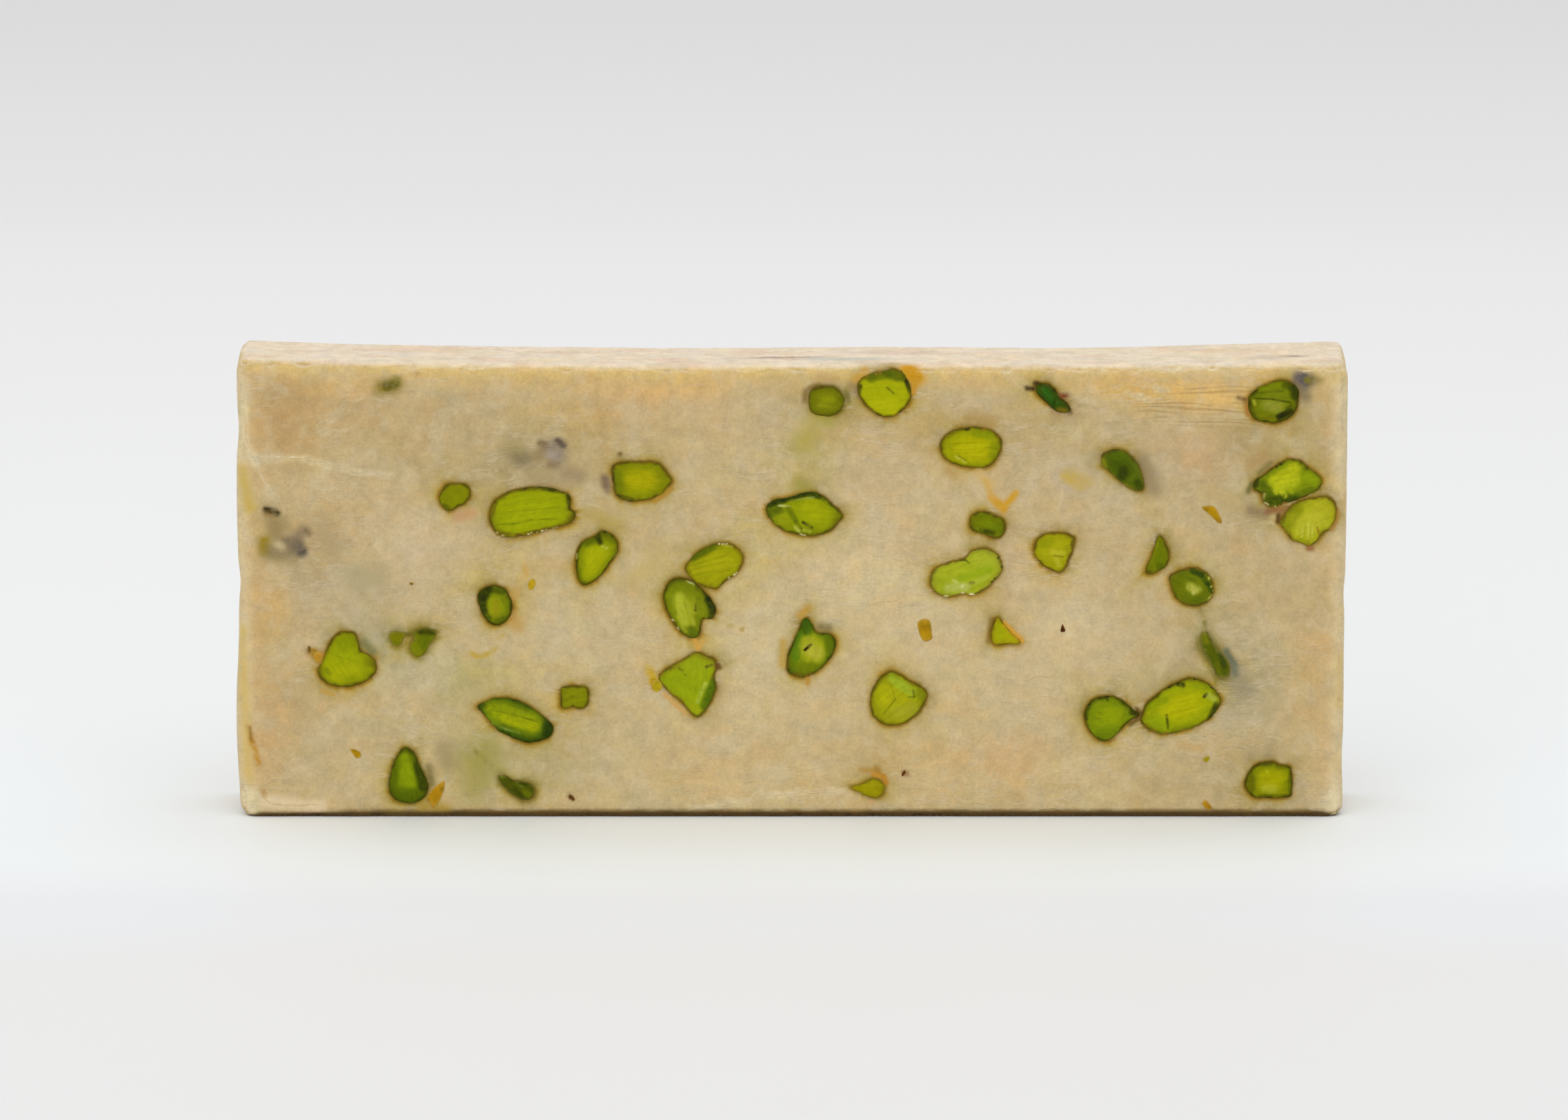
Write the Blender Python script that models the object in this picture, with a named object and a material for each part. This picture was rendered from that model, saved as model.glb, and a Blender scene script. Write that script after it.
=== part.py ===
# Pistachio turron: one bar of pale nougat paste standing on its long narrow edge, with cut
# pistachio kernels set flush in its faces. +X runs along the bar, +Z up, and the front faces -Y.
# The origin is at the middle of the foot, on the surface that the bar stands on.

import math
from collections import namedtuple

import bmesh
import bpy
from mathutils import Vector

MM = 0.001

BAR_LENGTH = 174.9 * MM
BAR_HEIGHT = 72.6 * MM  # at the middle, where the top edge sags
BAR_THICKNESS = 18.0 * MM
LEFT_RISE = 1.45 * MM  # how much higher the top is at the left end
RIGHT_RISE = 1.3 * MM  # the same at the right end, along the back only
LEFT_RISE_START = 35 * MM
RIGHT_RISE_START = 45 * MM

TOP_CORNER = 2.2 * MM
FOOT_CORNER = 1.6 * MM
ARRIS = 0.9 * MM  # rounding of the long edges of both broad faces
ARRIS_STEPS = 3
CORNER_STEPS = 4
TOP_STEPS = 30
END_STEPS = 16
FOOT_STEPS = 8

GAP = 0.3 * MM  # between a kernel and its pocket
CUTTER_REACH = 1.0 * MM  # how far a pocket's cutter stands out of the face
END_RECESS = 0.2 * MM  # keeps the kernels of the uneven ends inside them
BIG_KERNEL = 6.5 * MM
BIG_SIDES = 16
SMALL_SIDES = 12
DEPTH_SHARE = 0.45  # a kernel's depth in the paste, as a share of its width
LEAST_DEPTH = 1.2 * MM
GOLDEN_ANGLE = 2.4

# Small breaks along the two ends: end, height, half width and depth.
CHIPS = (
    ("left", 62 * MM, 3.0 * MM, 0.35 * MM),
    ("left", 38 * MM, 2.5 * MM, 0.30 * MM),
    ("right", 36 * MM, 2.5 * MM, 0.40 * MM),
    ("right", 9 * MM, 3.0 * MM, 0.30 * MM),
)

# How each kind of cut kernel differs from an ellipse. square is a superellipse's exponent, taper
# narrows one tip, bend curves the length, three makes a triangle and notch dents one side.
KINDS = {
    "oval": dict(square=2.2, taper=0.08),
    "round": dict(square=2.2, three=0.03),
    "block": dict(square=3.0, taper=0.05),
    "drop": dict(square=2.0, taper=0.42),
    "pear": dict(square=2.2, taper=0.3),
    "heart": dict(square=2.2, taper=0.3, notch=0.3),
    "kidney": dict(square=2.3, bend=0.2),
    "crescent": dict(square=1.8, bend=0.32),
    "wedge": dict(square=2.1, three=0.14),
    "kite": dict(square=1.6, taper=0.2),
    "leaf": dict(square=1.6, taper=0.25),
    "sliver": dict(square=1.7, taper=0.05),
}
PLAIN = dict(square=2.0, taper=0.0, bend=0.0, three=0.0, notch=0.0)

# Kernels by face, in millimetres and degrees: kind, across, up, long, wide, turn and tone. Across and
# up start from the face's middle and the foot, as seen from outside.
Kernel = namedtuple("Kernel", "kind across up long wide turn tone")
FRONT = (
    Kernel("heart", -70.5, 25.3, 9.4, 9.2, 198, "green"),
    Kernel("pear", -61.0, 6.6, 8.8, 6.0, 88, "dark"),
    Kernel("round", -62.3, 29.0, 2.2, 2.2, 0, "dark"),
    Kernel("wedge", -58.0, 28.4, 4.6, 4.0, 90, "green"),
    Kernel("oval", -53.1, 51.5, 5.3, 4.2, 35, "green"),
    Kernel("oval", -46.8, 34.2, 6.9, 5.0, -62, "dark"),
    Kernel("sliver", -43.5, 5.3, 6.2, 3.4, -42, "green"),
    Kernel("oval", -43.7, 15.8, 12.2, 6.9, -22, "bright"),
    Kernel("block", -41.0, 49.2, 13.6, 7.6, 8, "bright"),
    Kernel("block", -34.5, 19.4, 5.0, 3.9, 3, "green"),
    Kernel("oval", -31.0, 42.1, 9.4, 6.3, 58, "bright"),
    Kernel("block", -24.0, 54.3, 9.4, 6.6, -3, "bright"),
    Kernel("kite", -16.2, 21.5, 10.2, 9.4, -90, "bright"),
    Kernel("oval", -11.6, 41.5, 8.2, 6.2, 28, "bright"),
    Kernel("drop", -16.8, 33.5, 9.2, 7.0, -85, "green"),
    Kernel("block", 2.0, 49.1, 12.0, 7.4, 0, "bright"),
    Kernel("heart", 2.6, 27.4, 9.2, 7.6, 236, "bright"),
    Kernel("round", 5.5, 67.2, 6.0, 5.2, 0, "green"),
    Kernel("leaf", 12.2, 5.0, 5.6, 3.6, 180, "bright"),
    Kernel("round", 14.6, 67.8, 8.8, 7.0, 0, "bright"),
    Kernel("wedge", 16.7, 19.4, 9.0, 8.8, 6, "bright"),
    Kernel("kidney", 27.7, 39.3, 11.6, 7.1, 18, "bright"),
    Kernel("oval", 28.3, 59.6, 9.7, 6.7, -2, "bright"),
    Kernel("kidney", 30.9, 47.3, 6.2, 4.0, -20, "green"),
    Kernel("wedge", 33.0, 29.9, 5.2, 4.3, 100, "green"),
    Kernel("sliver", 40.3, 67.9, 7.2, 3.0, -38, "dark"),
    Kernel("round", 41.4, 43.0, 6.2, 6.3, 0, "green"),
    Kernel("wedge", 50.0, 15.9, 7.4, 8.0, -90, "green"),
    Kernel("oval", 52.1, 56.2, 8.6, 5.6, -42, "dark"),
    Kernel("crescent", 57.8, 42.2, 6.2, 3.0, 72, "green"),
    Kernel("oval", 61.7, 17.9, 12.8, 8.6, 20, "bright"),
    Kernel("round", 63.4, 37.3, 7.5, 6.9, 0, "green"),
    Kernel("sliver", 67.0, 26.3, 7.2, 3.2, -66, "dark"),
    Kernel("block", 76.0, 6.0, 7.5, 6.4, 0, "bright"),
    Kernel("round", 75.6, 66.9, 8.1, 6.4, 0, "green"),
    Kernel("kidney", 77.5, 54.3, 9.6, 6.5, 25, "dark"),
    Kernel("oval", 81.7, 47.4, 8.4, 6.2, 48, "bright"),
)
BACK = (
    Kernel("oval", -74.0, 56.0, 11.5, 7.0, 15, "bright"),
    Kernel("round", -72.0, 20.0, 7.0, 6.4, 0, "green"),
    Kernel("block", -56.0, 38.0, 9.5, 6.4, -25, "bright"),
    Kernel("kidney", -49.0, 61.0, 10.0, 6.0, 35, "green"),
    Kernel("drop", -46.0, 13.0, 9.4, 6.8, 110, "bright"),
    Kernel("wedge", -33.0, 45.0, 7.6, 7.2, 20, "bright"),
    Kernel("oval", -25.0, 23.0, 12.5, 7.2, -10, "bright"),
    Kernel("heart", -15.0, 60.0, 8.2, 7.0, 80, "green"),
    Kernel("sliver", -6.0, 40.0, 7.0, 2.8, 50, "dark"),
    Kernel("round", 1.0, 12.0, 6.6, 6.0, 0, "bright"),
    Kernel("oval", 11.0, 51.0, 9.4, 6.2, 60, "bright"),
    Kernel("kite", 22.0, 27.0, 9.0, 7.8, 10, "green"),
    Kernel("block", 31.0, 62.0, 11.0, 6.6, 5, "bright"),
    Kernel("oval", 41.0, 14.0, 8.4, 5.6, -40, "dark"),
    Kernel("kidney", 47.0, 42.0, 10.4, 6.2, -15, "bright"),
    Kernel("round", 60.0, 59.0, 7.4, 6.6, 0, "green"),
    Kernel("pear", 66.0, 24.0, 9.6, 5.6, 70, "bright"),
    Kernel("oval", 78.0, 44.0, 8.8, 6.2, 80, "bright"),
)
LEFT = (
    Kernel("oval", 1.0, 52.0, 7.6, 5.2, 75, "green"),
    Kernel("round", -2.0, 22.0, 6.0, 5.4, 0, "bright"),
)
RIGHT = (
    Kernel("oval", -1.5, 58.0, 8.2, 5.4, 65, "bright"),
    Kernel("wedge", 1.5, 26.0, 5.6, 5.2, 10, "green"),
)

# Where a face's plane lies, its direction to the right as seen from outside, and its way in.
Face = namedtuple("Face", "middle right inward")

TONES = {
    "paste": ((0.60, 0.44, 0.22), 0.55),
    "bright": ((0.36, 0.37, 0.02), 0.40),
    "green": ((0.16, 0.22, 0.02), 0.42),
    "dark": ((0.07, 0.10, 0.01), 0.45),
}


def clear_scene():
    for item in list(bpy.data.objects):
        bpy.data.objects.remove(item, do_unlink=True)


def make_material(name, color, roughness):
    material = bpy.data.materials.new(name)
    material.use_nodes = True
    shader = material.node_tree.nodes["Principled BSDF"]
    shader.inputs["Base Color"].default_value = (*color, 1.0)
    shader.inputs["Roughness"].default_value = roughness
    shader.inputs["Metallic"].default_value = 0.0
    return material


def add_object(name, shape, material):
    bmesh.ops.recalc_face_normals(shape, faces=shape.faces)
    mesh = bpy.data.meshes.new(name)
    shape.to_mesh(mesh)
    shape.free()
    item = bpy.data.objects.new(name, mesh)
    bpy.context.scene.collection.objects.link(item)
    item.data.materials.append(material)
    return item


def rise(distance, start, height):
    share = max(0.0, distance - start) / (BAR_LENGTH / 2 - start)
    return height * share**1.5


def top_height(across, depth):
    """Height of the top edge: lowest in the middle, lifted at both ends."""
    left = rise(-across, LEFT_RISE_START, LEFT_RISE)
    right = rise(across, RIGHT_RISE_START, RIGHT_RISE)
    ripple = 0.08 * MM * math.sin(across / (9 * MM))
    return BAR_HEIGHT + left + right * depth + ripple


def end_reach(end, height):
    """How far an end stands from the middle: gently wavy, with small breaks."""
    reach = BAR_LENGTH / 2
    if end == "left":
        reach += 0.12 * MM * math.sin(height / (6.5 * MM))
        reach += 0.55 * MM * math.exp(-(((height - 17 * MM) / (12 * MM)) ** 2))
    else:
        reach += 0.15 * MM * math.sin(height / (8 * MM) + 1.0)
    for chip_end, middle, half_width, depth in CHIPS:
        if chip_end == end:
            reach -= depth * math.exp(-(((height - middle) / half_width) ** 2))
    return reach


def arc(middle_x, middle_z, radius, first_degrees):
    """Points inside a quarter turn, without its two ends."""
    for step in range(1, CORNER_STEPS):
        angle = math.radians(first_degrees + 90 * step / CORNER_STEPS)
        yield middle_x + radius * math.cos(angle), middle_z + radius * math.sin(angle)


def spread(first, last, steps):
    return [first + (last - first) * step / steps for step in range(steps + 1)]


def bar_outline(depth):
    """The bar's outline in X and Z, anticlockwise from the left of the foot."""
    foot_left = -end_reach("left", FOOT_CORNER)
    foot_right = end_reach("right", FOOT_CORNER)
    top_left = -end_reach("left", BAR_HEIGHT - TOP_CORNER)
    top_right = end_reach("right", BAR_HEIGHT - TOP_CORNER)
    left_crown = top_height(top_left + TOP_CORNER, depth)
    right_crown = top_height(top_right - TOP_CORNER, depth)

    outline = [(x, 0.0) for x in spread(foot_left + FOOT_CORNER, foot_right - FOOT_CORNER, FOOT_STEPS)]
    outline += arc(foot_right - FOOT_CORNER, FOOT_CORNER, FOOT_CORNER, -90)
    outline += [(end_reach("right", z), z) for z in spread(FOOT_CORNER, right_crown - TOP_CORNER, END_STEPS)]
    outline += arc(top_right - TOP_CORNER, right_crown - TOP_CORNER, TOP_CORNER, 0)
    outline += [
        (x, top_height(x, depth)) for x in spread(top_right - TOP_CORNER, top_left + TOP_CORNER, TOP_STEPS)
    ]
    outline += arc(top_left + TOP_CORNER, left_crown - TOP_CORNER, TOP_CORNER, 90)
    outline += [(-end_reach("left", z), z) for z in spread(left_crown - TOP_CORNER, FOOT_CORNER, END_STEPS)]
    outline += arc(foot_left + FOOT_CORNER, FOOT_CORNER, FOOT_CORNER, 180)
    return outline


def inset(outline, amount):
    """The outline moved inwards. The foot's points only move up, which keeps it flat."""
    moved = []
    for index, (x, z) in enumerate(outline):
        before = outline[index - 1]
        after = outline[(index + 1) % len(outline)]
        along = Vector((after[0] - before[0], after[1] - before[1])).normalized()
        moved.append((x - along.y * amount, z + along.x * amount))
    return moved


def bar_rings():
    """Y, depth share and inset of each ring, from the front face to the back."""
    half = BAR_THICKNESS / 2
    front = []
    for step in range(ARRIS_STEPS + 1):
        angle = math.radians(90 * step / ARRIS_STEPS)
        front.append((-half + ARRIS * (1 - math.cos(angle)), ARRIS * (1 - math.sin(angle))))
    back = [(-y, amount) for y, amount in reversed(front)]
    return [(y, (y + half) / BAR_THICKNESS, amount) for y, amount in front + back]


def bar_shape():
    shape = bmesh.new()
    rings = []
    for y, depth, amount in bar_rings():
        outline = inset(bar_outline(depth), amount)
        rings.append([shape.verts.new((x, y, z)) for x, z in outline])
    for near, far in zip(rings, rings[1:]):
        for index in range(len(near)):
            after = (index + 1) % len(near)
            shape.faces.new((near[index], near[after], far[after], far[index]))
    shape.faces.new(rings[0])
    shape.faces.new(list(reversed(rings[-1])))
    return shape


def kernel_outline(kernel, phase, sides, grow):
    """A kernel's cut outline about its middle, with its true length and width."""
    traits = {**PLAIN, **KINDS[kernel.kind]}
    power = 2 / traits["square"]
    points = []
    for step in range(sides):
        angle = math.tau * step / sides
        across = math.copysign(abs(math.cos(angle)) ** power, math.cos(angle))
        up = math.copysign(abs(math.sin(angle)) ** power, math.sin(angle))
        dent = traits["notch"] * math.exp(-(1 + math.cos(angle)) / 0.12)
        uneven = 0.025 * math.sin(2 * angle + phase) + 0.02 * math.sin(3 * angle + 2 * phase)
        size = 1 + traits["three"] * math.cos(3 * angle) - dent + uneven
        across *= size
        up *= size * (1 - traits["taper"] * across)
        points.append((across, up + traits["bend"] * across**2))
    low = [min(point[axis] for point in points) for axis in (0, 1)]
    high = [max(point[axis] for point in points) for axis in (0, 1)]
    sizes = (kernel.long * MM + 2 * grow, kernel.wide * MM + 2 * grow)
    scaled = [
        [((point[axis] - low[axis]) / (high[axis] - low[axis]) - 0.5) * sizes[axis] for axis in (0, 1)]
        for point in points
    ]
    turn = math.radians(kernel.turn)
    cosine, sine = math.cos(turn), math.sin(turn)
    return [(u * cosine - v * sine, u * sine + v * cosine) for u, v in scaled]


def kernel_levels(depth, big):
    """Depths below the face and the share of the outline there, like half an egg."""
    shares = (0.0, 0.6, 0.95) if big else (0.0, 0.85)
    return [(depth * share, math.sqrt(1 - share**2)) for share in shares]


def add_kernel(shape, kernel, face, phase, grow, reach):
    """A kernel, or with grow and reach its pocket's cutter, as one closed body."""
    big = kernel.long * MM >= BIG_KERNEL
    outline = kernel_outline(kernel, phase, BIG_SIDES if big else SMALL_SIDES, grow)
    depth = max(LEAST_DEPTH, kernel.wide * MM * DEPTH_SHARE) + grow
    middle = face.middle + face.right * kernel.across * MM + Vector((0, 0, kernel.up * MM))
    levels = kernel_levels(depth, big)
    if reach:
        levels.insert(0, (-reach, 1.0))
    rings = []
    for level, share in levels:
        ring = []
        for u, v in outline:
            place = middle + face.right * u * share + Vector((0, 0, v * share)) + face.inward * level
            ring.append(shape.verts.new(place))
        rings.append(ring)
    for near, far in zip(rings, rings[1:]):
        for index in range(len(near)):
            after = (index + 1) % len(near)
            shape.faces.new((near[index], near[after], far[after], far[index]))
    shape.faces.new(rings[0])
    shape.faces.new(list(reversed(rings[-1])))


def end_face(end, kernel):
    """The plane of a kernel in an end, set just inside the uneven paste."""
    reach = min(end_reach(end, (kernel.up + shift) * MM) for shift in (-3, 0, 3)) - END_RECESS
    side = 1 if end == "right" else -1
    return Face(Vector((side * reach, 0, 0)), Vector((0, side, 0)), Vector((-side, 0, 0)))


def all_kernels():
    """Name, kernel, face and phase of every kernel in the bar."""
    half = BAR_THICKNESS / 2
    front = Face(Vector((0, -half, 0)), Vector((1, 0, 0)), Vector((0, 1, 0)))
    back = Face(Vector((0, half, 0)), Vector((-1, 0, 0)), Vector((0, -1, 0)))
    groups = (("front", FRONT, front), ("back", BACK, back), ("left", LEFT, None), ("right", RIGHT, None))
    for place, kernels, face in groups:
        for order, kernel in enumerate(kernels, 1):
            name = f"pistachio_{place}_{order:02d}_{kernel.kind}"
            yield name, kernel, face or end_face(place, kernel), order * GOLDEN_ANGLE


def cut_pockets(bar, cutter):
    cutter.hide_render = True
    cutter.display_type = "WIRE"
    cut = bar.modifiers.new("kernel pockets", "BOOLEAN")
    cut.operation = "DIFFERENCE"
    cut.solver = "EXACT"
    cut.object = cutter


def build_turron():
    clear_scene()
    materials = {name: make_material(name, *look) for name, look in TONES.items()}
    bar = add_object("paste", bar_shape(), materials["paste"])
    pockets = bmesh.new()
    for name, kernel, face, phase in all_kernels():
        solid = bmesh.new()
        add_kernel(solid, kernel, face, phase, 0.0, 0.0)
        add_object(name, solid, materials[kernel.tone])
        add_kernel(pockets, kernel, face, phase, GAP, CUTTER_REACH)
    cut_pockets(bar, add_object("pocket_cutter", pockets, materials["paste"]))


build_turron()
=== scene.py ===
# Pistachio turron: the paste, its cut kernels and its small scraps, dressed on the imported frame.
# Lengths in the dictionaries are in millimetres, colours are 0 to 255 as seen on a screen.

import itertools
import math
import random

import bpy
import numpy as np
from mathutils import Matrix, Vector
from mathutils.geometry import delaunay_2d_cdt


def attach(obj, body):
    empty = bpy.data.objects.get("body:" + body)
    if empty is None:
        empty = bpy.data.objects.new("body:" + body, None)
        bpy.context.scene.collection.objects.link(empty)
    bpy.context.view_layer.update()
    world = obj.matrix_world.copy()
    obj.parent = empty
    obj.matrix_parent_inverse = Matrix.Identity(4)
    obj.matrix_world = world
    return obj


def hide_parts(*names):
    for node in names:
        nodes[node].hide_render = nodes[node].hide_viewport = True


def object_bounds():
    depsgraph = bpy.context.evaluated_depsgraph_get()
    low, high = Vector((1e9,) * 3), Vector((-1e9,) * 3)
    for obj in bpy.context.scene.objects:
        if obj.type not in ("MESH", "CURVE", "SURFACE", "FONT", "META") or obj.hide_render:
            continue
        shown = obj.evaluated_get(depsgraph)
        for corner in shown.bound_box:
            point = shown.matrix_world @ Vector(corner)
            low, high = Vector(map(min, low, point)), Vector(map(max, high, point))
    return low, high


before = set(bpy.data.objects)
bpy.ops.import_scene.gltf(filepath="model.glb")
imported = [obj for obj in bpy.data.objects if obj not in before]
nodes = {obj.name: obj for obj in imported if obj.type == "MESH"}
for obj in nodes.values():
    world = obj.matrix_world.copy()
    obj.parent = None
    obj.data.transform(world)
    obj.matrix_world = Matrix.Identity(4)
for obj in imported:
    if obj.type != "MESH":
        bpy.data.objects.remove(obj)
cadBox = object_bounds()
mm = 0.001
print("frame loaded with", len(nodes), "nodes")


# Small helpers: the scene, colours and soft steps

def shown(thing):
    bpy.context.scene.collection.objects.link(thing)
    return thing


def readPoints(mesh, name="co"):
    points = np.zeros(len(mesh.vertices) * 3)
    mesh.vertices.foreach_get(name, points)
    return points.reshape(-1, 3)


def linear(shade):
    value = np.clip(np.asarray(shade, float) / 255, 0, 1)
    return np.where(value <= 0.04045, value / 12.92, ((value + 0.055) / 1.055) ** 2.4)


def flat(shade):
    return tuple(float(part) for part in linear(shade))


def soft(low, high, value):
    share = np.clip((value - low) / (high - low), 0, 1)
    return share * share * (3 - 2 * share)


def cloud(points, size, seed=0.0):
    # smooth value noise from -1 to 1
    cell = points / size + 17.3 * seed + 0.31
    base = np.floor(cell)
    part = cell - base
    part = part * part * (3 - 2 * part)
    total = np.zeros(len(points))
    for corner in itertools.product((0, 1), repeat=3):
        value = np.sin((base + corner) @ (127.1, 311.7, 74.7)) * 43758.5453
        weight = np.prod(np.where(corner, part, 1 - part), axis=1)
        total += (value - np.floor(value)) * weight
    return total * 2 - 1


def lay(colors, shade, mask):
    colors += (np.asarray(shade, float) - colors) * np.clip(mask, 0, 1)[:, None]


def strokeDistance(x, z, start, end):
    alongX, alongZ = end[0] - start[0], end[1] - start[1]
    length = alongX * alongX + alongZ * alongZ
    share = 0 * x if length == 0 else np.clip(((x - start[0]) * alongX + (z - start[1]) * alongZ) / length, 0, 1)
    return np.hypot(x - start[0] - share * alongX, z - start[1] - share * alongZ)


# cream is the colour of painted glints on kernel rims
palette = dict(
    pale=(192, 196, 84), glint=(226, 218, 174), bark=(104, 84, 26), rust=(150, 104, 34), ink=(36, 36, 14),
)


def shadeOf(value):
    return palette[value] if isinstance(value, str) else value


# Node trees written as sums

class Wire:
    # one socket of a tree
    def __init__(self, board, socket):
        self.board, self.socket = board, socket

    def work(self, operation, *others):
        return self.board.add("ShaderNodeMath", {"operation": operation}, dict(enumerate((self, *others))))

    def __add__(self, other):
        return self.work("ADD", other)

    __radd__ = __add__

    def __sub__(self, other):
        return self.work("SUBTRACT", other)

    def __rsub__(self, other):
        return self.board.add("ShaderNodeMath", {"operation": "SUBTRACT"}, {0: other, 1: self})

    def __mul__(self, other):
        return self.work("MULTIPLY", other)

    __rmul__ = __mul__

    def __truediv__(self, other):
        return self.work("DIVIDE", other)

    def __pow__(self, other):
        return self.work("POWER", other)

    def step(self, low, high):
        # 0 below low, 1 above high, or the other way round
        settings = {"interpolation_type": "SMOOTHSTEP", "clamp": True}
        return self.board.add("ShaderNodeMapRange", settings, {0: self, 1: low, 2: high, 3: 0.0, 4: 1.0})

    def out(self, name):
        return Wire(self.board, self.socket.node.outputs[name])


class Board:
    # one node tree being wired
    def __init__(self, tree):
        self.tree = tree

    def add(self, kind, settings=None, sockets=None, out=0):
        node = self.tree.nodes.new(kind)
        for name, value in (settings or {}).items():
            if name == "stops":
                ramp = node.color_ramp
                while len(ramp.elements) < len(value):
                    ramp.elements.new(0.5)
                for element, (place, shade) in zip(ramp.elements, value):
                    element.position = place
                    element.color = (*shade, 1)
                node.color_ramp.interpolation = "EASE"
            else:
                setattr(node, name, value)
        for name, value in (sockets or {}).items():
            socket = node.inputs[name]
            if isinstance(value, Wire):
                self.tree.links.new(value.socket, socket)
            elif socket.type == "RGBA" and len(value) == 3:
                socket.default_value = (*value, 1)
            else:
                socket.default_value = value
        return Wire(self, node.outputs[out])

    def tinted(self, factor, first, second, mode="MIX"):
        settings = {"data_type": "RGBA", "blend_type": mode}
        return self.add("ShaderNodeMix", settings, {0: factor, 6: first, 7: second}, 2)

    def toned(self, color, factor, times):
        return self.tinted(factor, color, self.tinted(1.0, color, times, "MULTIPLY"))

    def vector(self, operation, first, second=None):
        sockets = {0: first} if second is None else {0: first, 1: second}
        return self.add("ShaderNodeVectorMath", {"operation": operation}, sockets)

    def stretched(self, vector, scale):
        return self.vector("MULTIPLY", vector, scale)

    def scaled(self, vector, size):
        return self.add("ShaderNodeVectorMath", {"operation": "SCALE"}, {0: vector, "Scale": size})

    def joined(self, x, y, z):
        return self.add("ShaderNodeCombineXYZ", None, {0: x, 1: y, 2: z})

    def lit(self, color, light):
        return self.tinted(1.0, color, self.joined(light, light, light), "MULTIPLY")

    def painted(self, name, out="Color"):
        return self.add("ShaderNodeAttribute", {"attribute_name": name}, None, out)

    def grain(self, vector, scale, detail=2.0, rough=0.5):
        sockets = {"Vector": vector, "Scale": scale, "Detail": detail, "Roughness": rough}
        return self.add("ShaderNodeTexNoise", None, sockets)

    def dots(self, vector, scale):
        return self.add("ShaderNodeTexVoronoi", None, {"Vector": vector, "Scale": scale, "Randomness": 1.0})

    def parts(self, vector):
        split = self.add("ShaderNodeSeparateXYZ", None, {0: vector})
        return split, split.out("Y"), split.out("Z")


def newMaterial(name):
    material = bpy.data.materials.new(name)
    material.use_nodes = True
    tree = material.node_tree
    tree.nodes.clear()
    board = Board(tree)
    shader = tree.nodes.new("ShaderNodeBsdfPrincipled")
    output = tree.nodes.new("ShaderNodeOutputMaterial")
    tree.links.new(shader.outputs[0], output.inputs["Surface"])
    return material, board, shader


def plug(board, shader, **wires):
    for name, wire in wires.items():
        board.tree.links.new(wire.socket, shader.inputs[name.replace("_", " ")])


def waxy(shader, look):
    # light sinks in a little, and the surface shines little
    for name, value in (
        ("Subsurface Weight", look["subsurface"]), ("Subsurface Radius", look["sinking"]),
        ("Subsurface Scale", look["sinkScale"] * mm), ("Specular IOR Level", look["specular"]),
    ):
        shader.inputs[name].default_value = value


def bumped(board, heights):
    # heights: pairs of a wire from 0 to 1 and how many metres it stands for
    normal = None
    for wire, depth in heights:
        sockets = {"Strength": 1.0, "Distance": depth, "Height": wire}
        if normal:
            sockets["Normal"] = normal
        normal = board.add("ShaderNodeBump", None, sockets)
    return normal


pasteLook = dict(
    warmSize=8.0, warm=0.5, cool=0.45, blushSize=2.8, blush=0.26, veilSize=4.5, veil=0.3, veilShade=(214, 197, 160),
    oliveSize=7.0, olive=0.2, mottleSize=2.0, mottle=0.25, fineSize=0.55, fine=0.18, dustSize=0.22, dust=0.11,
    warmTint=(1.04, 0.955, 0.86), coolTint=(0.975, 0.99, 1.05), blushTint=(1.04, 0.955, 0.84),
    paleTint=(0.97, 0.995, 1.05), oliveTint=(0.97, 0.99, 0.76), bend=90.0, lift=0.006, threads=(70.0, 200.0, 520.0),
    wisp=0.34, wispSize=11.0, wispShade=(226, 208, 172), dragMark=0.5, dragShade=(174, 134, 80),
    dragBend=(45.0, 45.0, 260.0), strands=(70.0, 70.0, 700.0), scratches=(500.0, 500.0, 2600.0),
    roughness=0.52, relief=0.042, subsurface=0.12, sinking=(1.0, 0.7, 0.4), sinkScale=1.5, specular=0.2,
)


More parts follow.
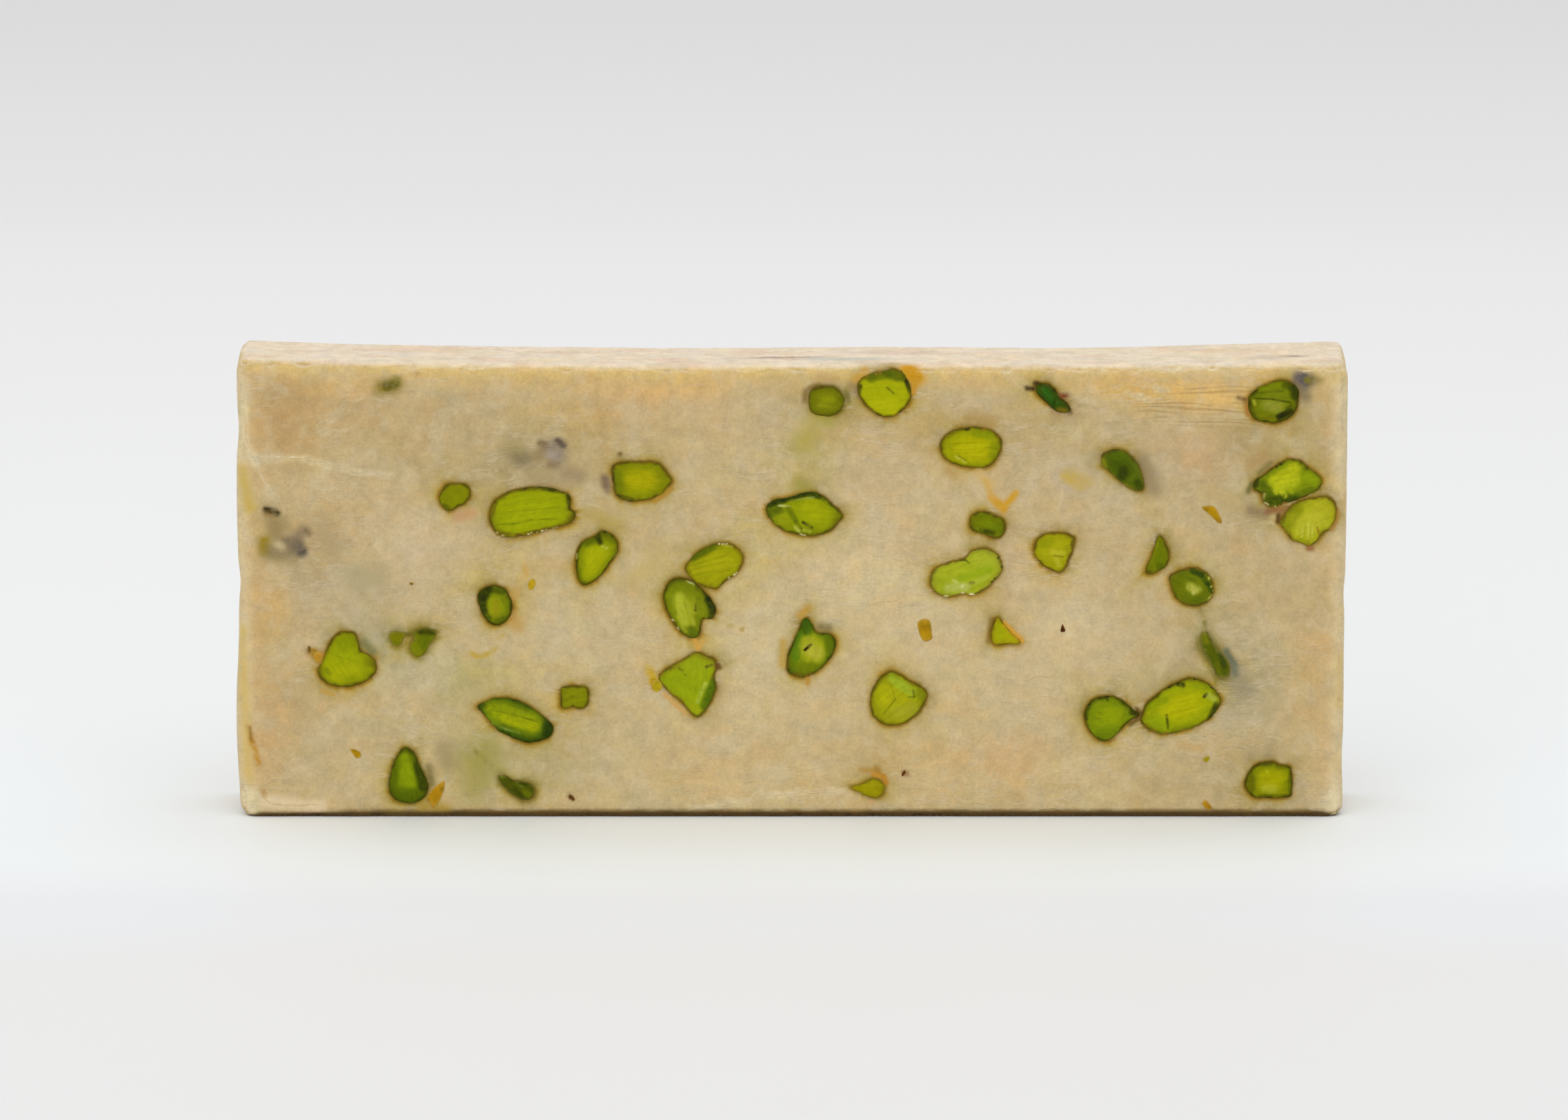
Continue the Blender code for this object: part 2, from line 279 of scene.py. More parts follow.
def makePasteMaterial(look):
    material, board, shader = newMaterial("turron paste")
    place = board.add("ShaderNodeTexCoord", None, None, "Object")
    tint = board.painted("tint")
    stain = board.painted("stain")
    drag = board.painted("drag", "Fac")

    def noise(size, detail=3.0, stretch=(1.0, 1.0, 1.0), shift=0.0):
        moved = board.vector("ADD", place, (shift, shift, shift))
        return board.grain(board.stretched(moved, stretch), 1000.0 / size, detail, 0.6)

    # warm, cool, milky and oily patches
    warm = noise(look["warmSize"], 2.0, (1.0, 1.0, 1.5))
    color = board.toned(tint, warm.step(0.5, 0.66) * look["warm"], look["warmTint"])
    color = board.toned(color, warm.step(0.5, 0.34) * look["cool"], look["coolTint"])
    blush = noise(look["blushSize"], 1.0, shift=0.17)
    color = board.toned(color, blush.step(0.48, 0.66) * look["blush"], look["blushTint"])
    color = board.toned(color, blush.step(0.5, 0.34) * look["blush"], look["paleTint"])
    pale = board.parts(tint)[1].step(0.1, 0.25)  # not on the painted shade at the foot
    veil = noise(look["veilSize"], 2.0, shift=0.31).step(0.5, 0.62) * look["veil"] * pale
    color = board.tinted(veil, color, flat(look["veilShade"]))
    olive = noise(look["oliveSize"], 1.5, shift=0.73)
    color = board.toned(color, olive.step(0.52, 0.64) * look["olive"], look["oliveTint"])
    mottle, fine, dust = noise(look["mottleSize"], 4.0), noise(look["fineSize"]), noise(look["dustSize"], 2.0)
    light = 1 + (mottle - 0.5) * look["mottle"] * 2 + (fine - 0.5) * look["fine"] * 2 + (dust - 0.5) * look["dust"] * 2
    color = board.lit(color, light)

    # pale threads drawn out along the bar
    bent = board.grain(place, look["bend"], 3.0, 0.6)
    drawn = board.vector("ADD", place, board.joined(0.0, 0.0, bent * look["lift"]))
    threads = board.grain(board.stretched(drawn, look["threads"]), 1.0, 3.0, 0.65)
    wisp = pale * (threads - 0.5).work("ABSOLUTE").step(0.035, 0.0)
    wisp = wisp * noise(look["wispSize"], 2.0, shift=0.5).step(0.46, 0.62)
    color = board.tinted(wisp * look["wisp"], color, flat(look["wispShade"]))

    # stains and painted shade are broken up by the grain of the paste
    broken = 0.86 + fine.step(0.4, 0.6) * 0.16 + mottle.step(0.4, 0.6) * 0.16
    cover = (stain.out("Alpha") * broken).work("MINIMUM", 1.0)
    color = board.tinted(cover, color, stain)

    # fine wavy lines where the knife dragged
    along, _, up = board.parts(place)
    bend = board.grain(board.stretched(place, look["dragBend"]), 1.0, 2.0, 0.5)
    strand = board.grain(board.stretched(place, look["strands"]), 1.0, 2.0, 0.5).step(0.42, 0.58)
    wave = ((up * 8600 + bend * 42.0 + along * 110).work("SINE") * 0.5 + 0.5) ** 3 * drag * strand
    color = board.tinted(wave * look["dragMark"], color, flat(look["dragShade"]))

    scratch = board.grain(board.stretched(place, look["scratches"]), 1.0, 2.0, 0.6)
    normal = bumped(board, (
        (fine, look["relief"] * mm * 2.0), (mottle, look["relief"] * mm * 3), (scratch, look["relief"] * mm),
        (dust, look["relief"] * mm * 0.8), (1 - wave, 0.08 * mm), (wisp, 0.05 * mm),
    ))
    plug(board, shader, Base_Color=color, Roughness=look["roughness"] + (fine - 0.5) * 0.2, Normal=normal)
    waxy(shader, look)
    return material


kernelSkin = dict(
    fibre=0.21, fibreStretch=(0.28, 2.2, 1.0), mottle=0.2, mottleScale=1.1, poreScale=3.2, pit=0.35,
    pitTint=(0.6, 0.66, 0.5), roughness=0.42, relief=0.03, subsurface=0.05, sinking=(0.6, 0.9, 0.2), sinkScale=1.0,
    specular=0.035,
)


def makeKernelMaterial(look):
    material, board, shader = newMaterial("cut pistachio")
    tint = board.painted("tint")
    grain = board.painted("grain", "Vector")
    fibre = board.grain(board.stretched(grain, look["fibreStretch"]), 1.0, 3.0, 0.6)  # runs along the kernel
    mottle = board.grain(grain, look["mottleScale"], 3.0, 0.6)
    pores = board.dots(grain, look["poreScale"])
    light = 1 + (fibre - 0.5) * look["fibre"] * 2 + (mottle - 0.5) * look["mottle"] * 2
    color = board.lit(tint, light)
    pit = (0.16 - pores).step(0.0, 0.1) * board.parts(pores.out("Color"))[0].step(0.72, 0.76)
    color = board.toned(color, pit * look["pit"], look["pitTint"])
    normal = bumped(board, (
        (fibre, look["relief"] * mm * 2), (mottle, look["relief"] * mm * 3), (1 - pit, 0.04 * mm),
    ))
    rough = look["roughness"] + (mottle - 0.5) * 0.25
    plug(board, shader, Base_Color=color, Roughness=rough, Normal=normal)
    waxy(shader, look)
    return material


pasteMaterial = makePasteMaterial(pasteLook)
kernelMaterial = makeKernelMaterial(kernelSkin)
print("materials made")


# Kernels: place, size and depth come from the frame, and each kernel in the front has a look of its own.
# Outlines and strokes are in shares of the kernel's reach, across and up from its middle. A stroke is
# start, end, half width, colour, strength and, where it is cut in, its depth; the near-white strokes are
# painted glints. Chips are flecks on the rim: first and last angle, count and colour; the cream ones are
# painted glints. Spills are stains on the paste round it, and the grey-green ones painted shade, given as
# strokes are. The other sides borrow these looks, on outlines from the frame.

faces = {  # to the right as seen from outside, and out
    "front": (Vector((1, 0, 0)), Vector((0, -1, 0))), "back": (Vector((-1, 0, 0)), Vector((0, 1, 0))),
    "left": (Vector((0, -1, 0)), Vector((-1, 0, 0))), "right": (Vector((0, 1, 0)), Vector((1, 0, 0))),
}

kernelLooks = {
    "01": dict(core=(154, 162, 8), flank=(142, 148, 5), edge=(112, 104, 14), outline=((0, .64), (.18, .6), (.27, .4),
        (.36, .16), (.58, .04), (.7, -.15), (.67, -.38), (.4, -.6), (0, -.72), (-.45, -.65), (-.7, -.38), (-.6, -.08),
        (-.48, .22), (-.36, .45), (-.2, .6)), strokes=((-.1, .3, .05, .4, .2, (122, 132, 4), .6),
        (-.4, -.1, -.1, -.2, .2, (160, 164, 6), .7), (-.35, -.45, .15, -.3, .16, (168, 168, 8), .7),
        (-.5, -.28, -.42, -.38, .05, (98, 104, 10), .6), (-.25, .05, .3, -.1, .02, (118, 126, 6), .4),
        (.5, -.05, .6, -.15, .1, (112, 110, 8), .6)), spillsAndShade=((-.92, .2, -.88, .12, .05, (110, 76, 20), .9),
        (-.82, .12, -.68, 0, .12, (164, 128, 26), .95), (.4, .35, .6, .15, .13, (116, 118, 74), .6),
        (-.6, -.8, -.35, -.9, .03, (190, 150, 50), .6))),
    "02": dict(core=(122, 138, 5), flank=(92, 106, 4), edge=(70, 76, 6), softness=.25, outline=((.03, .8), (.22, .68),
        (.33, .42), (.43, .18), (.56, -.1), (.58, -.37), (.46, -.6), (.2, -.74), (-.13, -.72), (-.37, -.57),
        (-.48, -.32), (-.45, 0), (-.37, .33), (-.22, .63), (-.1, .77)),
        strokes=((-.02, .5, .08, -.15, .15, (138, 154, 8), .9), (.32, .32, .44, -.3, .12, (50, 58, 4), .95),
        (-.1, -.52, .2, -.55, .2, (80, 98, 4), .7), (-.3, .1, -.3, -.3, .08, (88, 104, 4), .5)),
        spillsAndShade=((.6, .25, .68, -.2, .1, (118, 110, 66), .6),)),
    "03": dict(core=(118, 118, 3), flank=(112, 112, 4), edge=(118, 112, 18), softness=.7, outline=((-.9, .05),
        (-.8, .5), (-.5, .74), (0, .78), (.5, .72), (.92, .55), (.92, .2), (.72, -.2), (.5, -.6), (.1, -.88),
        (-.35, -.85), (-.72, -.5)), spillsAndShade=((.95, .42, 1.35, .42, .3, (106, 96, 16), .9),)),
    "04": dict(core=(104, 114, 6), flank=(110, 114, 6), edge=(112, 108, 16), softness=.6, outline=((-.58, .5),
        (-.35, .68), (0, .77), (.3, .7), (.62, .53), (.5, .2), (.3, -.13), (.12, -.5), (-.15, -.78), (-.45, -.8),
        (-.72, -.53), (-.75, -.15), (-.58, .13)), strokes=((-.2, .58, .5, .56, .2, (52, 56, 2), .95),
        (.1, .2, .15, -.1, .2, (94, 108, 4), .6), (-.5, -.25, -.35, -.5, .24, (132, 134, 8), .75))),
    "05": dict(core=(128, 132, 4), flank=(126, 128, 5), edge=(112, 106, 12), outline=((-.25, .7), (.15, .72),
        (.53, .68), (.75, .42), (.72, .05), (.45, -.28), (.13, -.43), (-.12, -.6), (-.38, -.58), (-.6, -.35),
        (-.73, 0), (-.63, .3), (-.45, .57)), strokes=((-.45, -.38, -.3, -.5, .14, (86, 88, 6), .85),
        (.1, .1, .4, 0, .25, (134, 136, 4), .4))),
    "06": dict(core=(138, 146, 10), flank=(112, 122, 8), edge=(80, 80, 8), outline=((-.03, .77), (.33, .67), (.6, .3),
        (.66, -.1), (.48, -.5), (.12, -.69), (-.2, -.59), (-.43, -.25), (-.57, .15), (-.57, .42), (-.4, .64)),
        strokes=((-.1, .6, .3, .52, .1, (66, 74, 8), .85), (.1, -.52, .45, -.42, .1, (80, 90, 6), .7),
        (.08, .12, .02, -.2, .17, (150, 142, 20), .8), (-.22, .6, -.38, .35, .16, (38, 44, 4), 1),
        (-.42, .35, -.36, -.15, .13, (42, 46, 10), .95), (-.32, -.2, -.15, -.42, .06, (60, 70, 8), .8))),
    "07": dict(core=(78, 84, 5), flank=(76, 82, 6), edge=(88, 86, 14), softness=.6, outline=((-.74, .58), (-.55, .4),
        (-.3, .28), (0, .18), (.4, .1), (.75, -.05), (.9, -.35), (.8, -.65), (.5, -.8), (.15, -.75), (-.25, -.5),
        (-.58, -.18), (-.84, .15), (-.9, .45)), strokes=((-.3, .25, .5, .02, .08, (54, 56, 6), .8),
        (.45, -.4, .6, -.5, .17, (112, 118, 8), .8), (-.1, -.2, .3, -.65, .1, (58, 62, 5), .8),
        (.03, 0, .3, -.15, .05, (106, 124, 46), .8), (-.78, .48, -.68, .4, .1, (124, 130, 40), .85))),
    "08": dict(core=(70, 92, 10), flank=(66, 88, 8), edge=(50, 68, 8), outline=((-.76, .24), (-.62, .33), (-.41, .41),
        (-.1, .41), (.25, .27), (.55, .05), (.75, -.16), (.72, -.36), (.5, -.47), (.25, -.51), (0, -.44),
        (-.33, -.27), (-.53, -.06), (-.66, .1)), strokes=((-.54, .14, -.42, -.08, .07, (96, 118, 16), .8),
        (-.38, .15, .32, -.09, .25, (150, 160, 8), 1, .04), (-.2, 0, .35, -.16, .1, (172, 174, 8), .8),
        (-.35, .22, .1, .12, .06, (140, 150, 14), .6), (-.4, .15, .1, .03, .012, (112, 118, 6), .8, .05),
        (.1, .03, .44, -.08, .012, (112, 118, 6), .8, .05), (-.46, -.1, -.2, -.22, .022, (124, 146, 60), .7),
        (-.2, -.22, .08, -.3, .022, (124, 146, 60), .7), (.64, -.12, .62, -.3, .09, (32, 50, 8), .8),
        (-.72, .2, -.62, .24, .04, (60, 60, 14), .8))),
    "09": dict(core=(156, 164, 6), flank=(148, 156, 6), edge=(112, 106, 12), outline=((-.72, -.05), (-.62, .22),
        (-.3, .4), (.15, .47), (.5, .4), (.68, .3), (.69, .08), (.78, 0), (.68, -.18), (.3, -.3), (-.1, -.4),
        (-.45, -.42), (-.66, -.28)), strokes=((-.55, -.2, -.3, -.19, .014, (116, 126, 6), .8, .05),
        (-.3, -.19, 0, -.12, .014, (116, 126, 6), .8, .05), (0, -.12, .4, -.1, .012, (116, 126, 6), .7, .05),
        (-.4, .02, .5, .1, .01, (126, 136, 6), .6), (-.2, -.05, .3, 0, .08, (156, 164, 10), .5),
        (.2, .43, .55, .37, .03, (52, 54, 8), .9), (.64, .3, .68, .1, .035, (48, 54, 8), .9),
        (-.2, .4, .15, .44, .02, (84, 78, 14), .8), (-.68, -.05, -.6, .18, .025, (96, 78, 20), .8),
        (-.6, -.34, -.2, -.38, .02, (108, 84, 20), .8), (-.2, -.37, .6, -.2, .018, (112, 90, 20), .7)),
        chips=((196, 345, 10, "glint"), (60, 110, 3, "ink"))),
    "10": dict(core=(130, 134, 6), flank=(126, 128, 8), edge=(100, 94, 10), softness=.12, outline=((-.58, .48),
        (-.25, .57), (.3, .57), (.67, .47), (.75, .08), (.68, -.32), (.45, -.55), (.18, -.55), (0, -.48),
        (-.25, -.52), (-.45, -.54), (-.62, -.38), (-.62, .08)),
        strokes=((-.35, -.1, -.05, .04, .05, (104, 106, 6), .7, .06),
        (-.05, .04, .16, 0, .05, (104, 106, 6), .7, .06), (.3, -.5, .4, -.48, .06, (96, 74, 10), .7),
        (-.1, .3, .3, .3, .16, (134, 136, 8), .5))),
    "11": dict(core=(164, 168, 6), flank=(130, 138, 5), edge=(88, 84, 8), outline=((.22, .74), (.47, .63), (.63, .43),
        (.61, .17), (.47, -.07), (.3, -.33), (.07, -.57), (-.23, -.73), (-.43, -.63), (-.49, -.33), (-.5, 0),
        (-.43, .3), (-.27, .47), (0, .6)), strokes=((-.25, .45, .1, .6, .14, (82, 90, 8), .85),
        (.3, .62, .5, .5, .1, (92, 100, 6), .7), (.08, .62, .16, .42, .07, (46, 50, 10), .9, .12),
        (.1, .1, -.12, -.42, .2, (166, 168, 8), .7), (.22, .32, .34, .28, .035, (200, 204, 120), .75),
        (.62, .25, .54, .02, .03, (150, 158, 50), .6), (-.46, .12, -.46, 0, .02, (190, 190, 110), .6),
        (-.4, -.3, -.38, -.6, .06, (104, 112, 6), .6)), chips=((40, 100, 3, "ink"),)),
    "12": dict(core=(164, 160, 5), flank=(132, 136, 5), edge=(110, 100, 12), outline=((-.67, .33), (-.47, .46),
        (0, .49), (.46, .47), (.67, .27), (.83, 0), (.7, -.2), (.53, -.37), (.13, -.5), (-.27, -.52), (-.57, -.37),
        (-.64, -.07)), strokes=((-.52, .2, -.5, -.2, .12, (104, 114, 8), .7),
        (-.1, .05, .3, .05, .18, (172, 166, 6), .6), (-.64, .36, -.66, -.08, .045, (70, 60, 24), .9),
        (-.5, -.38, -.18, -.48, .05, (58, 60, 18), .85), (.35, .12, .65, .05, .016, (118, 116, 10), .6, .04),
        (.3, -.05, .6, -.08, .014, (118, 116, 10), .5, .04), (.1, .48, .42, .45, .02, (122, 100, 20), .8),
        (.5, -.38, .75, -.15, .04, (158, 136, 20), .6), (-.4, .15, .1, .2, .012, (128, 132, 6), .5),
        (-.45, -.1, .1, -.15, .012, (128, 132, 6), .5)), chips=((10, 60, 5, "bark"),),
        spillsAndShade=((-.8, .05, -.78, -.25, .1, (130, 112, 90), .6), (-.47, .67, -.46, .68, .03, (110, 80, 30), .8),
        (.4, -.53, .8, -.22, .05, (176, 138, 50), .8))),
    "13": dict(core=(150, 164, 14), flank=(144, 158, 12), edge=(130, 122, 22), outline=((.2, .78), (.4, .68),
        (.58, .62), (.66, .42), (.58, .2), (.62, -.05), (.52, -.4), (.3, -.7), (.18, -.77), (.02, -.65), (-.2, -.38),
        (-.45, -.2), (-.7, .15), (-.5, .4), (-.15, .58), (0, .7)),
        strokes=((0, .45, .3, .45, .18, (154, 164, 24), .6), (-.3, .1, .2, -.05, .14, (136, 152, 10), .5),
        (.57, .05, .36, -.5, .1, (68, 94, 8), .9), (.38, .02, .3, -.15, .05, (182, 194, 100), .8, -.04),
        (.27, -.2, .2, -.4, .045, (178, 190, 90), .75, -.04), (.1, -.5, .2, -.62, .08, (168, 170, 14), .6),
        (-.22, .38, -.15, .34, .03, (92, 100, 20), .8, .08), (.4, .42, .52, .46, .03, (92, 82, 30), .8, .08),
        (-.1, .25, -.06, .22, .02, (104, 116, 10), .6), (-.45, -.22, -.05, -.58, .02, (200, 160, 84), .6),
        (.6, .5, .62, .38, .03, (120, 90, 40), .7)), chips=((25, 60, 3, "bark"), (150, 200, 3, "rust")),
        spillsAndShade=((.2, .86, .12, 1.1, .06, (206, 160, 70), .7), (.22, .86, .36, 1.04, .04, (206, 164, 80), .6),
        (-.82, .05, -.78, -.04, .09, (186, 150, 16), .9), (-.55, -.25, -.08, -.68, .05, (204, 162, 90), .7),
        (.68, .46, .7, .4, .03, (110, 80, 40), .8))),
    "14": dict(core=(162, 160, 10), flank=(154, 152, 9), edge=(128, 118, 12), outline=((-.95, -.25), (-.82, .03),
        (-.59, .27), (-.32, .43), (-.02, .53), (.28, .53), (.55, .4), (.73, .17), (.71, -.1), (.55, -.37),
        (.28, -.57), (-.03, -.83), (-.36, -.78), (-.7, -.6)), strokes=((-.72, .1, -.12, .44, .1, (80, 94, 6), .95),
        (-.1, .4, .1, .42, .05, (116, 128, 10), .7), (-.8, -.2, .4, .1, .03, (180, 172, 24), .6),
        (-.7, -.3, .5, -.1, .04, (182, 172, 26), .6), (-.75, -.12, .3, .2, .014, (132, 136, 8), .6, .04),
        (-.6, -.4, .4, -.25, .014, (136, 138, 8), .5, .04), (-.8, -.22, .2, -.02, .012, (136, 138, 8), .5, .04),
        (.12, .49, .42, .44, .025, (190, 180, 80), .6), (.6, -.25, .73, .1, .02, (130, 98, 24), .7)),
        chips=((300, 330, 4, "glint"), (60, 100, 4, "glint"))),
    "15": dict(core=(150, 156, 26), flank=(118, 128, 10), edge=(84, 84, 8), outline=((-.09, .86), (.24, .77),
        (.51, .53), (.71, .27), (.83, 0), (.71, -.22), (.54, -.2), (.44, -.43), (.41, -.63), (.24, -.75),
        (-.03, -.63), (-.29, -.33), (-.46, 0), (-.53, .33), (-.46, .63), (-.29, .82)),
        strokes=((-.2, .65, .2, .6, .1, (116, 128, 10), .7), (-.12, .35, 0, -.3, .13, (178, 184, 52), .9),
        (.08, .2, .25, -.35, .05, (176, 178, 54), .75), (.38, .3, .4, -.1, .07, (112, 122, 10), .7),
        (-.4, .4, -.36, 0, .06, (124, 136, 8), .6), (-.24, .4, -.2, -.3, .012, (126, 134, 10), .5, .04),
        (.3, .16, .3, 0, .022, (80, 66, 18), .8, .06), (0, .3, .14, -.3, .012, (128, 134, 12), .5, .04),
        (.62, .3, .74, 0, .095, (34, 42, 14), .95), (.7, -.05, .68, -.18, .06, (60, 60, 20), .85),
        (.2, -.5, .26, -.62, .1, (82, 98, 10), .85), (.08, .77, .26, .69, .018, (214, 214, 160), .7),
        (-.44, 0, -.15, -.5, .025, (118, 88, 24), .7), (-.05, -.45, .05, -.55, .04, (180, 178, 60), .6)),
        chips=((215, 255, 3, "glint"),)),
    "16": dict(core=(150, 158, 6), flank=(134, 142, 6), edge=(104, 102, 12), outline=((-.75, .08), (-.6, .27),
        (-.27, .33), (.07, .44), (.33, .38), (.57, .18), (.75, -.02), (.7, -.15), (.5, -.35), (.13, -.45),
        (-.27, -.39), (-.57, -.22)), strokes=((-.5, -.1, -.4, -.15, .13, (150, 156, 18), .7),
        (.15, .1, .35, -.05, .22, (164, 168, 8), .7), (-.68, 0, -.5, .08, .09, (74, 88, 12), .85),
        (-.66, .18, -.4, .27, .06, (38, 50, 10), .95), (-.4, .29, 0, .39, .055, (38, 50, 10), .95),
        (0, .4, .3, .35, .05, (38, 52, 10), .95), (.3, .34, .55, .18, .04, (62, 74, 10), .8),
        (-.3, .1, -.16, -.15, .05, (92, 104, 8), .8, .08), (-.16, -.15, -.06, -.3, .035, (96, 104, 10), .75, .08),
        (-.02, -.17, .15, -.27, .028, (58, 60, 20), .85, .1), (-.48, .16, -.28, .15, .018, (206, 206, 160), .8),
        (-.25, .26, .2, .33, .014, (160, 170, 110), .7), (-.17, -.26, -.1, -.34, .035, (188, 192, 100), .7),
        (0, -.32, .12, -.36, .03, (180, 184, 80), .6), (-.4, .05, -.3, .1, .03, (110, 120, 16), .6)),
        chips=((250, 300, 3, "glint"), (320, 350, 3, "bark"))),
    "17": dict(core=(150, 158, 18), flank=(96, 116, 8), edge=(76, 84, 10), outline=((-.14, .74), (0, .56), (.13, .36),
        (.43, .33), (.59, .18), (.61, -.02), (.49, -.32), (.23, -.62), (-.11, -.82), (-.44, -.82), (-.67, -.65),
        (-.64, -.25), (-.51, .08), (-.37, .38), (-.27, .66)),
        strokes=((-.06, .14, .08, -.2, .26, (168, 170, 22), .95), (-.1, .66, -.14, .42, .16, (52, 84, 8), .9),
        (-.35, .3, -.42, -.3, .1, (80, 120, 18), .8), (-.3, -.6, .1, -.55, .14, (118, 126, 8), .7),
        (.4, .1, .45, -.1, .1, (98, 114, 10), .7), (-.12, .02, .08, -.2, .22, (160, 162, 36), .95),
        (-.05, -.1, .1, -.2, .18, (180, 176, 58), .85), (-.1, .12, -.12, .2, .06, (150, 156, 30), .7),
        (-.19, -.11, -.04, .02, .032, (46, 38, 10), .95, .15), (-.2, .6, -.12, .4, .08, (64, 92, 14), .7),
        (-.6, -.3, -.64, -.6, .03, (120, 92, 26), .7), (-.5, -.74, 0, -.74, .03, (130, 96, 26), .6)),
        chips=((225, 290, 4, "rust"),), spillsAndShade=((-.3, .8, -.1, 1, .12, (190, 150, 60), .7),
        (-.76, .1, -.78, -.5, .1, (188, 158, 76), .7), (-.1, -.9, -.12, -1, .06, (184, 140, 50), .8),
        (.2, .5, .42, .48, .12, (118, 108, 66), .6))),
    "18": dict(core=(126, 130, 8), flank=(112, 114, 6), edge=(88, 84, 8), softness=.4, outline=((-.48, .52),
        (-.2, .6), (.05, .6), (.3, .56), (.55, .38), (.72, .1), (.66, -.2), (.5, -.48), (.2, -.62), (0, -.64),
        (-.35, -.6), (-.64, -.42), (-.7, -.05), (-.66, .3)), strokes=((-.3, -.2, .3, -.24, .06, (158, 156, 30), .6),
        (-.1, 0, .2, .05, .14, (150, 152, 14), .5), (-.5, .5, -.15, .56, .07, (80, 64, 12), .85),
        (.55, .1, .65, 0, .1, (96, 98, 6), .6)), spillsAndShade=((-.8, .36, -.84, 0, .12, (112, 88, 24), .5),
        (-.66, .5, -.28, .64, .08, (112, 84, 20), .5), (.76, .35, .86, 0, .1, (124, 118, 60), .7),
        (0, -.85, .2, -.9, .25, (168, 160, 84), .5), (-.3, .85, .3, .85, .16, (196, 164, 104), .6))),
    "19": dict(core=(158, 150, 6), flank=(152, 142, 8), edge=(140, 124, 18), softness=.35, outline=((-.73, -.05),
        (-.32, .1), (.03, .27), (.27, .38), (.54, .25), (.72, 0), (.68, -.29), (.44, -.49), (.16, -.54), (-.19, -.39),
        (-.53, -.2)), strokes=((.66, .1, .62, -.3, .06, (122, 112, 10), .7),
        (0, .1, .4, .15, .06, (160, 152, 20), .5), (.5, -.2, .6, 0, .06, (130, 114, 8), .5)),
        spillsAndShade=((.22, .5, .66, .42, .07, (194, 142, 50), .85), (.64, .44, .76, .14, .06, (184, 132, 40), .8),
        (.1, -.7, .2, -.72, .12, (204, 162, 116), .5))),
    "20": dict(core=(166, 170, 6), flank=(166, 168, 8), edge=(112, 100, 12), outline=((-.69, .41), (-.43, .6),
        (.04, .7), (.31, .74), (.54, .61), (.67, .35), (.72, .01), (.57, -.29), (.31, -.49), (.01, -.55),
        (-.29, -.42), (-.56, -.15), (-.7, .11)), strokes=((-.35, .52, .1, .62, .12, (82, 94, 8), .9),
        (.1, .62, .45, .52, .12, (78, 90, 8), .9), (.58, .42, .68, .15, .055, (44, 50, 10), .95),
        (-.62, .3, -.66, .1, .04, (70, 66, 14), .8), (-.2, -.2, .2, -.25, .2, (190, 188, 14), .5),
        (-.1, .2, .3, .25, .08, (160, 168, 10), .5), (.08, .25, .25, .1, .022, (104, 104, 18), .85, .1),
        (.3, .06, .45, .05, .012, (140, 144, 10), .5)), chips=((200, 340, 6, "bark"), (95, 150, 5, "rust")),
        spillsAndShade=((.62, .78, .86, .5, .2, (200, 150, 4), 1), (.62, .78, .86, .5, .1, (196, 144, 2), 1),
        (.84, .46, .78, .12, .06, (196, 148, 44), .85), (-.76, .5, -.5, .7, .12, (196, 156, 70), .7))),
    "21": dict(core=(166, 164, 14), flank=(152, 152, 12), edge=(116, 108, 12), outline=((-.13, .74), (.1, .67),
        (.33, .5), (.6, .37), (.79, .17), (.75, -.07), (.57, -.37), (.27, -.6), (-.07, -.7), (-.37, -.64),
        (-.6, -.43), (-.67, -.07), (-.61, .27), (-.4, .6)), strokes=((-.35, .3, -.35, -.05, .16, (178, 176, 14), .7),
        (.1, -.35, .4, -.25, .2, (166, 164, 48), .7), (-.2, -.5, -.1, -.3, .12, (160, 158, 30), .5),
        (.6, .2, .66, .05, .1, (112, 120, 10), .75), (-.1, .55, .38, .2, .13, (160, 180, 46), .9, -.05),
        (-.15, .65, .1, .52, .03, (130, 150, 20), .6), (-.05, .45, .3, .2, .02, (140, 164, 30), .6),
        (.44, .24, .47, .06, .022, (84, 90, 18), .85, .08), (.47, .06, .32, .06, .018, (90, 96, 18), .75, .08),
        (-.32, -.38, -.02, 0, .014, (120, 120, 10), .8, .06), (-.02, 0, -.14, .42, .012, (130, 134, 12), .6, .04),
        (-.5, -.3, -.4, -.5, .06, (140, 138, 8), .5))),
    "22": dict(core=(164, 174, 32), flank=(158, 168, 30), edge=(140, 134, 36), outline=((-.73, -.18), (-.64, .07),
        (-.37, .2), (-.04, .3), (.16, .47), (.43, .51), (.66, .37), (.76, .13), (.66, -.1), (.43, -.33), (.16, -.47),
        (-.08, -.45), (-.37, -.52), (-.61, -.42)), strokes=((.3, .3, .55, .2, .16, (176, 182, 50), .6),
        (-.5, 0, -.2, .1, .12, (174, 178, 40), .5), (-.1, -.12, .5, .08, .07, (138, 166, 18), .6),
        (-.35, -.32, 0, -.3, .1, (196, 200, 120), .7), (.2, -.2, .45, -.08, .05, (188, 196, 90), .6),
        (-.22, .29, 0, .26, .018, (78, 80, 20), .85, .08), (0, .26, .07, .2, .014, (90, 94, 20), .8, .08),
        (.1, -.22, .16, -.21, .03, (108, 104, 50), .85, .1), (-.25, -.16, -.18, -.2, .03, (210, 210, 150), .7),
        (-.08, -.3, -.05, -.26, .03, (214, 210, 160), .7), (-.55, -.15, -.5, -.2, .06, (150, 160, 30), .5)),
        chips=((215, 290, 9, "glint"), (330, 400, 4, "ink"), (100, 160, 4, "bark"))),
    "23": dict(core=(174, 170, 4), flank=(154, 154, 6), edge=(112, 104, 10), outline=((-.75, .1), (-.55, .37),
        (-.15, .5), (.19, .52), (.52, .43), (.72, .22), (.74, 0), (.62, -.27), (.39, -.47), (0, -.48), (-.41, -.39),
        (-.68, -.2)), strokes=((.1, .38, .45, .3, .1, (126, 138, 8), .75),
        (.58, .05, .55, -.12, .11, (128, 136, 6), .75), (-.35, 0, .4, .08, .06, (188, 184, 16), .7),
